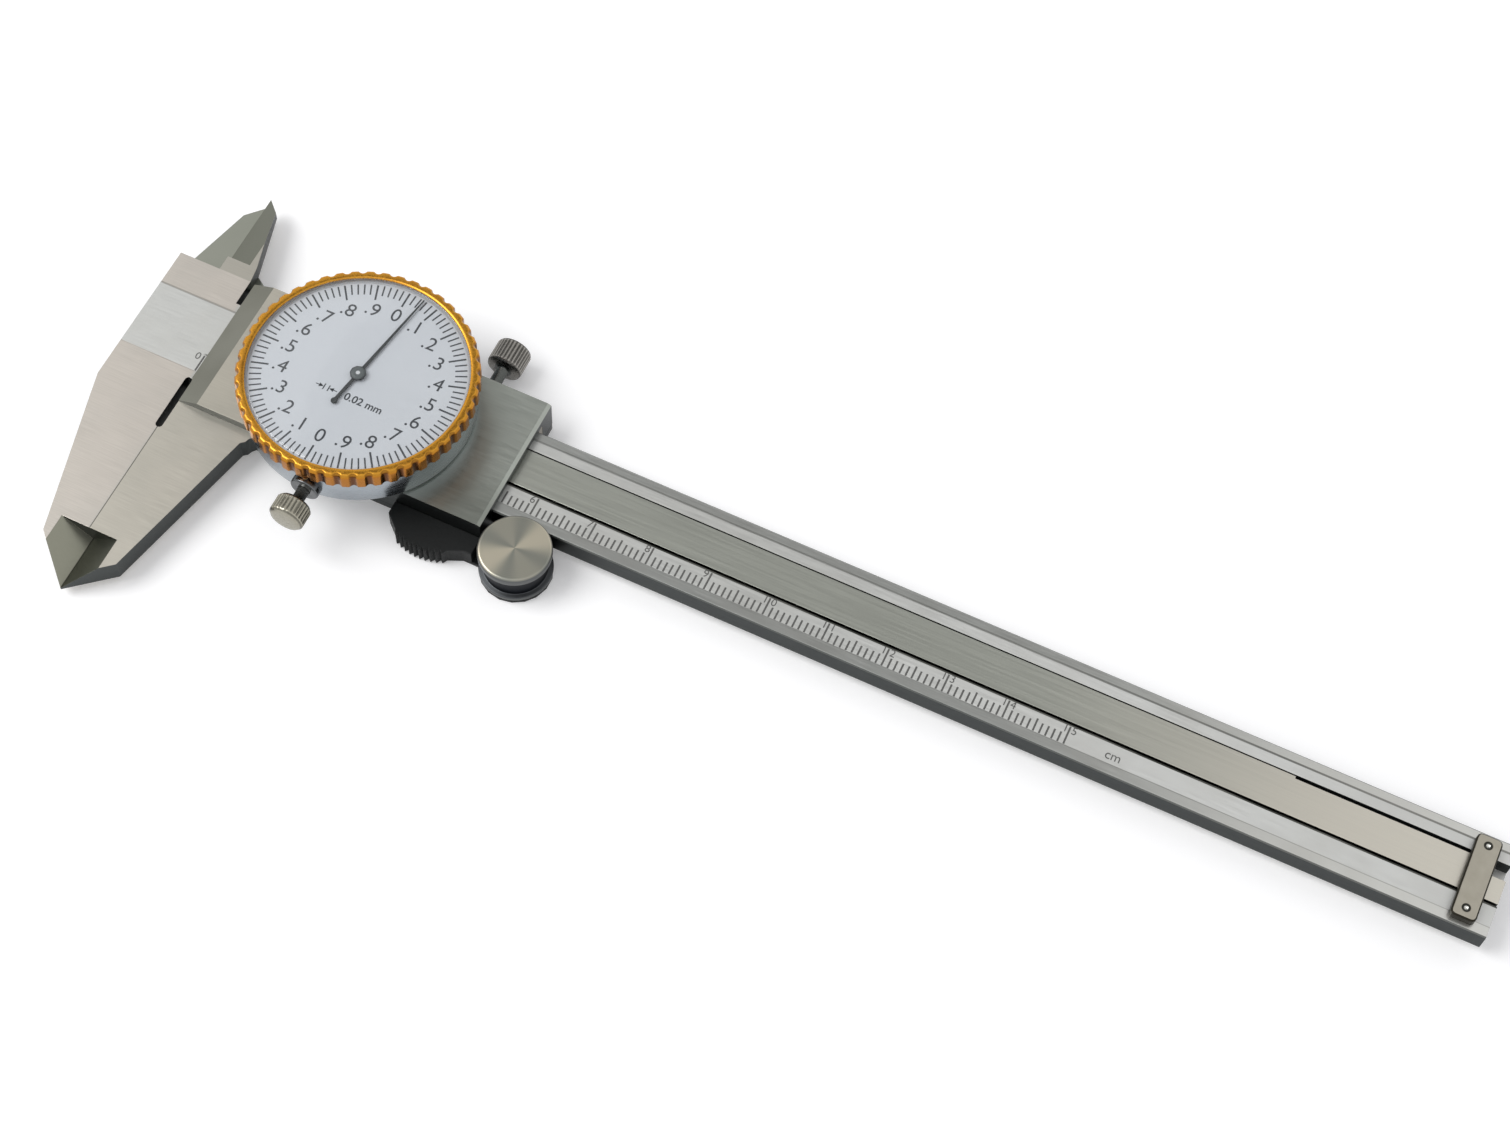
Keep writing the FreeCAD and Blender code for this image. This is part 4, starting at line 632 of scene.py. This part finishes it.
# Pieces that stand for a CAD node or lie on one

def bezel_rim():
    """Rim turned from its section, with 48 hollows: the radius drops by
    depth (1 - (s / w)^2), where s is the way along the rim from a hollow's middle."""
    corners = [(18.0, 9.02), (19.0, 9.02), (19.15, 9.2), (19.15, 11.7), (18.75, 12.22), (17.9, 12.22),
               (17.58, 12.1), (17.58, 11.77), (18.0, 11.77)]
    profile = rounded_profile(corners, 0.22, 4)

    def shrink(u, r, z):
        pitch = 2 * np.pi / 48
        s = np.abs((u % pitch) - pitch / 2) * 19.15
        hollow = np.clip(1 - (s / 0.7) ** 2, 0, 1)
        return 0.4 * hollow * np.clip((r - 18.35) / 0.5, 0, 1)

    points, faces = lathe(profile, 48 * 14, shrink)
    piece = add_piece("bezel_rim", put_up(points, *DIAL), faces, "bezel",
                      FINISHES["gold_bezel"])
    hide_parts("bezel")


def crystal_dome():
    """Low dome turned once round: z = top - rise (r / rim)^4, with a thin skirt down to the dial."""
    r = np.linspace(0, 16.9, 14)
    over = np.stack([r, 12.57 - 0.16 * (r / 16.9) ** 4], axis=-1)
    rim = np.array([(17.3, 12.34), (17.5, 12.18), (17.5, 11.77), (17.98, 11.77), (17.98, 11.16),
                    (17.2, 11.16), (17.2, 11.9), (17.0, 11.97)])
    under = np.array([(9.0, 11.99), (0.0, 11.99)])
    points, faces = lathe(np.vstack([over, rim, under])[::-1], 144, closed=False)
    piece = add_piece("crystal_dome", put_up(points, *DIAL), faces, "bezel", FINISHES["crystal"])
    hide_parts("crystal")


def case_shell():
    """Case turned from its section: floor, wall, shoulder and neck."""
    corners = [(0, 3.6), (18.0, 3.6), (18.5, 4.1), (18.5, 8.95), (17.93, 8.95), (17.93, 9.49),
               (17.52, 9.49), (17.52, 9.85), (17.93, 9.85), (17.93, 10.4), (16.4, 10.4), (16.4, 4.5),
               (0, 4.5)]
    profile = rounded_profile(corners, 0.1, 3, closed=False)
    points, faces = lathe(profile, 144, closed=False)
    add_piece("case_shell", put_up(points, *DIAL), faces, "slider", FINISHES["case_metal"])


def clamp_boss():
    """Round boss on the case wall with a bore."""
    corners = [(1.03, -11.75), (2.25, -11.75), (2.4, -11.6), (2.4, -9.6), (1.03, -9.6)]
    points, faces = lathe(rounded_profile(corners, 0.12, 3), 48)
    boss = lay_along_y(points, 28.0, 6.5)
    piece = add_piece("clamp_boss", boss, faces, "slider", FINISHES["clamp_boss"])
    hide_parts("dial_case")


def straight_knurl(ridges, depth, low, high):
    """Takes depth |sin(n u / 2)| off the radius between two heights, where n is the number of ridges."""
    def shrink(u, r, z):
        inside = np.clip((z - low) / 0.3, 0, 1) * np.clip((high - z) / 0.3, 0, 1)
        return depth * np.abs(np.sin(ridges * u / 2)) * inside * (r > 2.0)
    return shrink


def lock_screw_knurled():
    """Lock screw turned round its own axis: shank, neck and straight-knurled head."""
    head = np.array([(2.35, 24.9), (2.85, 25.1), (3.0, 25.5)])
    grip = np.stack([np.full(6, 3.0), np.linspace(25.7, 28.7, 6)], axis=-1)
    crown = np.array([(3.0, 28.9), (2.8, 29.25), (2.4, 29.45), (1.6, 29.5)])
    shank = np.array([(0, 17.22), (0.8, 17.22), (1.03, 17.5), (1.03, 24.6), (1.25, 24.9)])
    profile = np.vstack([shank, head, grip, crown, [(0, 29.5)]])
    points, faces = lathe(profile, 30 * 8, straight_knurl(30, 0.16, 25.3, 29.1), closed=False)
    piece = add_piece("lock_screw_knurled", lay_along_y(points, 43.3, 0.0), faces, "lock_screw",
                      FINISHES["lock_screw"])
    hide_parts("lock_screw")


def clamp_screw_knurled():
    """Bezel clamp screw turned round its own axis: tip, taper, shank and straight-knurled head."""
    crown = np.array([(0, -17.8), (1.9, -17.8), (2.45, -17.7), (2.9, -17.25)])
    grip = np.stack([np.full(5, 2.9), np.linspace(-17.1, -14.8, 5)], axis=-1)
    neck = np.array([(2.9, -14.7), (2.5, -14.25), (1.0, -14.2), (1.0, -11.63), (0.75, -9.62), (0.75, -7.62)])
    profile = np.vstack([crown, grip, neck, [(0, -7.62)]])
    points, faces = lathe(profile, 28 * 8, straight_knurl(28, 0.15, -17.3, -14.5), closed=False)
    piece = add_piece("clamp_screw_knurled", lay_along_y(points, 28.0, 6.5), faces, "bezel_clamp_screw",
                      FINISHES["bezel_clamp_screw"])
    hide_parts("bezel_clamp_screw")


def thumb_wheel_turned():
    """Spool turned round its axis: two flanges with a neck between them."""
    corners = [(0, -2.87), (5.5, -2.87), (5.9, -2.87), (5.9, -2.09), (5.1, -2.09), (5.1, 2.09), (5.9, 2.09),
               (5.9, 3.2), (5.57, 3.53), (5.2, 3.53), (0, 3.53)]
    points, faces = lathe(rounded_profile(corners, 0.12, 3, closed=False), 120, closed=False)
    piece = add_piece("thumb_wheel_turned", put_up(points, 61.0, -5.12), faces, "thumb_wheel",
                      FINISHES["turned_steel"])
    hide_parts("thumb_wheel")


def stop_pins():
    """Two pins with a round dimple, turned from one section."""
    profile = np.array([(0, 0.4), (0.5, 0.4), (0.55, 0.5), (0.55, 3.46), (0.5, 3.5), (0.36, 3.5), (0.2, 3.3),
                        (0, 3.22)])
    points, faces = lathe(profile, 32, closed=False)
    low = put_up(points, 213.3, 2.6)
    high = put_up(points, 213.3, 13.4)
    both = np.vstack([low, high])
    more = [[v + len(points) for v in f] for f in faces]
    piece = add_piece("stop_pins", both, faces + more, "beam", FINISHES["stop_plate_pins"])
    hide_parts("stop_plate_pins")


def dial_marks():
    """A hundred radial lines, every fifth one longer, printed on the dial."""
    k = np.arange(100)
    angle = np.pi / 2 - 2 * np.pi * k / 100
    long = k % 5 == 0
    outer = 17.0
    inner = np.where(long, 14.2, 15.1)
    middle = (outer + inner) / 2
    centres = DIAL + np.stack([np.cos(angle), np.sin(angle)], axis=-1) * middle[:, None]
    points, faces = bars(centres, outer - inner, np.where(long, 0.3, 0.24), angle, DIAL_TOP, DIAL_TOP + 0.02)
    add_piece("dial_marks", points, faces, "bezel", INK, smooth=False)


def gap_symbol():
    """Two arrows that point at the gap between two short lines: the step of the dial's divisions."""
    y = DIAL[1] - 4.15
    middle = DIAL[0] - 3.35
    centres = [(middle - 1.3, y), (middle - 0.4, y), (middle + 0.4, y), (middle + 1.3, y)]
    lines, sides = bars(centres, [1.1, 1.1, 1.1, 1.1], [0.14, 0.18, 0.18, 0.14],
                        np.array([0, np.pi / 2, np.pi / 2, 0]), DIAL_TOP, DIAL_TOP + 0.02)
    add_piece("gap_lines", lines, sides, "bezel", INK, smooth=False)
    tip = np.array([[0.0, 0.0], [-0.75, 0.36], [-0.75, -0.36]])
    left = tip + np.array([middle - 0.5, y])
    right = tip[::-1] * np.array([-1, 1]) + np.array([middle + 0.5, y])
    flat = np.vstack([left, right])
    low = np.column_stack([flat, np.full(6, DIAL_TOP)])
    high = np.column_stack([flat, np.full(6, DIAL_TOP + 0.02)])
    one = [[2, 1, 0], [6, 7, 8], [0, 1, 7, 6], [1, 2, 8, 7], [2, 0, 6, 8]]
    two = [[v + 3 for v in f] for f in one]
    add_piece("gap_arrows", np.vstack([low, high]), one + two, "bezel", INK, smooth=False)


def dial_numerals():
    """Upright numerals, two rounds from 0 to .9, on a circle inside the lines."""
    words = []
    for k in range(20):
        a = np.pi / 2 - 2 * np.pi * k / 20
        text = "0" if k % 10 == 0 else "." + str(k % 10)
        words.append((text, DIAL[0] + 12.3 * np.cos(a), DIAL[1] + 12.3 * np.sin(a), 2.35, 0.0))
    words.append(("0.02 mm", DIAL[0] + 3.2, DIAL[1] - 4.3, 1.3, 0.03))
    points, faces = letters(words, DIAL_TOP, DIAL_TOP + 0.02)
    add_piece("dial_numerals", points, faces, "bezel", INK, smooth=False)


def scale_lines():
    """Millimetre lines on the beam's lower land, longer at 5 mm and longest at each centimetre."""
    k = np.arange(151)
    top = np.where(k % 10 == 0, 5.05, np.where(k % 5 == 0, 4.15, 3.7))
    low = 1.95
    centres = np.stack([k.astype(float), (top + low) / 2], axis=-1)
    points, faces = bars(centres, top - low, np.full(151, 0.3), np.full(151, np.pi / 2),
                         BEAM_FRONT, BEAM_FRONT + 0.012)
    add_piece("scale_lines", points, faces, "beam", ENGRAVED, smooth=False)


def scale_numerals():
    """Centimetre numbers beside their lines: the tens stand before the line and the units after it."""
    words = [("0", -0.95, 4.55, 1.3, 0.0), ("cm", 157.6, 3.2, 1.5, 0.0)]
    for n in range(1, 16):
        x = 10.0 * n
        if n < 10:
            words.append((str(n), x - 0.8, 4.5, 1.3, 0.0))
        else:
            words.append((str(n // 10), x - 0.6, 4.5, 1.3, 0.0))
            words.append((str(n % 10), x + 0.8, 4.5, 1.3, 0.0))
    points, faces = letters(words, BEAM_FRONT, BEAM_FRONT + 0.012)
    add_piece("scale_numerals", points, faces, "beam", ENGRAVED, smooth=False)


def dress_cad_nodes():
    """Gives each CAD node its finish, and breaks the sharp edges of the large plain ones."""
    slots = {s["node"]: s["material_slot"] for s in frame["record"]["subparts"]}
    for name, node in frame["nodes"].items():
        node.data.materials.clear()
        node.data.materials.append(FINISHES.get(name, FINISHES[slots[name]]))
    for name, width in (("beam", 0.12), ("slider_frame", 0.15), ("depth_blade", 0.06), ("stop_plate", 0.06),
                        ("thumb_rest", 0.12), ("back_plate", 0.12)):
        node = frame["nodes"][name]
        weld = node.modifiers.new("weld", "WELD")
        weld.merge_threshold = 0.0005 * MM
        bevel = node.modifiers.new("bevel", "BEVEL")
        bevel.width = width * MM
        bevel.segments = 2
        bevel.limit_method = "ANGLE"
        bevel.angle_limit = np.radians(35)


# Camera, floor and light

def make_camera():
    data = bpy.data.cameras.new("camera")
    data.sensor_width = 36.0
    data.lens = 65.30
    data.clip_start = 0.01
    data.clip_end = 20.0
    camera = bpy.data.objects.new("camera", data)
    bpy.context.scene.collection.objects.link(camera)
    right = (0.9066966, 0.4200049, 0.0386932)
    down = (0.3868838, -0.7916281, -0.4729121)
    ahead = (-0.1679947, 0.4437576, -0.8802596)
    turn = Matrix((right, [-v for v in down], [-v for v in ahead])).transposed().to_4x4()
    camera.matrix_world = Matrix.Translation([v * MM for v in (166.905, -179.608, 376.185)]) @ turn
    bpy.context.scene.camera = camera


def flat_card(name, corners, material):
    mesh = bpy.data.meshes.new(name)
    mesh.from_pydata([[v * MM for v in c] for c in corners], [], [[0, 1, 2, 3]])
    mesh.materials.append(material)
    card = bpy.data.objects.new(name, mesh)
    bpy.context.scene.collection.objects.link(card)
    return card


def seen_directly(tree):
    """1 for what the camera, polished metal or glass sees, 0 for the light that reaches a surface."""
    path = tree.nodes.new("ShaderNodeLightPath")
    first = tree.nodes.new("ShaderNodeMath")
    first.operation = "MAXIMUM"
    tree.links.new(path.outputs["Is Camera Ray"], first.inputs[0])
    tree.links.new(path.outputs["Is Glossy Ray"], first.inputs[1])
    both = tree.nodes.new("ShaderNodeMath")
    both.operation = "MAXIMUM"
    tree.links.new(first.outputs[0], both.inputs[0])
    tree.links.new(path.outputs["Is Transmission Ray"], both.inputs[1])
    return both.outputs[0]


def make_floor():
    finish = Finish("floor_white", (0.93, 0.93, 0.93), 0.0, 0.9)
    speck = finish.grain((0.02, 0.02, 0.02), 1.0)
    finish.colour(finish.blend(speck, (0.925, 0.925, 0.925), (0.94, 0.94, 0.94)))
    finish.shader.inputs["Specular IOR Level"].default_value = 0.0
    finish.shader.inputs["Emission Color"].default_value = (1, 1, 1, 1)
    glow = finish.sum("MULTIPLY", seen_directly(finish.tree), FLOOR_LIFT)
    finish.join(glow, finish.shader.inputs["Emission Strength"])
    z = CAD_BOX[0].z / MM - 0.02
    flat_card("floor", [(-6000, -6000, z), (6000, -6000, z), (6000, 6000, z), (-6000, 6000, z)],
              finish.material)


def reflected_card(name, corners, grey):
    """Plain card that only polished and ground metal sees, as a photographer's flag."""
    material = bpy.data.materials.new(name)
    material.use_nodes = True
    nodes = material.node_tree.nodes
    glow = nodes.new("ShaderNodeEmission")
    glow.inputs["Color"].default_value = (grey, grey, grey, 1)
    material.node_tree.links.new(glow.outputs[0], nodes["Material Output"].inputs["Surface"])
    card = flat_card(name, corners, material)
    card.visible_camera = False
    card.visible_diffuse = False
    card.visible_shadow = False
    card.visible_transmission = False


def lamp(name, place, aim, size, power):
    data = bpy.data.lights.new(name, "AREA")
    data.shape = "SQUARE"
    data.size = size * MM
    data.energy = power
    light = bpy.data.objects.new(name, data)
    bpy.context.scene.collection.objects.link(light)
    back = (np.array(place, float) - np.array(aim, float))
    back = back / np.linalg.norm(back)
    side = np.cross((0, 1, 0.01), back)
    side = side / np.linalg.norm(side)
    up = np.cross(back, side)
    turn = Matrix((side, up, back)).transposed().to_4x4()
    light.matrix_world = Matrix.Translation([v * MM for v in place]) @ turn


def make_world():
    """White where it is seen, and a soft grey light on everything."""
    world = bpy.data.worlds.new("studio")
    bpy.context.scene.world = world
    world.use_nodes = True
    tree = world.node_tree
    background = tree.nodes["Background"]
    background.inputs["Strength"].default_value = 1.0
    mix = tree.nodes.new("ShaderNodeMix")
    mix.data_type = "RGBA"
    mix.inputs[6].default_value = (SKY_LIGHT, SKY_LIGHT, SKY_LIGHT * 1.02, 1)
    mix.inputs[7].default_value = (1, 1, 1, 1)
    tree.links.new(seen_directly(tree), mix.inputs[0])
    tree.links.new(mix.outputs[2], background.inputs["Color"])


def make_light():
    lamp("key", (-620, -260, 900), (90, 0, 0), 700, 7.5)
    reflected_card("flag_long", [(-185, 60, 530), (195, 60, 530), (195, 520, 530), (-185, 520, 530)], 0.37)
    reflected_card("flag_deep", [(-170, 60, 529), (-92, 60, 529), (-92, 275, 529), (-170, 275, 529)], 0.03)
    bpy.context.scene.view_settings.view_transform = "Standard"


make_camera()
dress_cad_nodes()
bezel_rim()
crystal_dome()
case_shell()
clamp_boss()
lock_screw_knurled()
clamp_screw_knurled()
thumb_wheel_turned()
stop_pins()
dial_marks()
gap_symbol()
dial_numerals()
scale_lines()
scale_numerals()
make_floor()
make_world()
make_light()
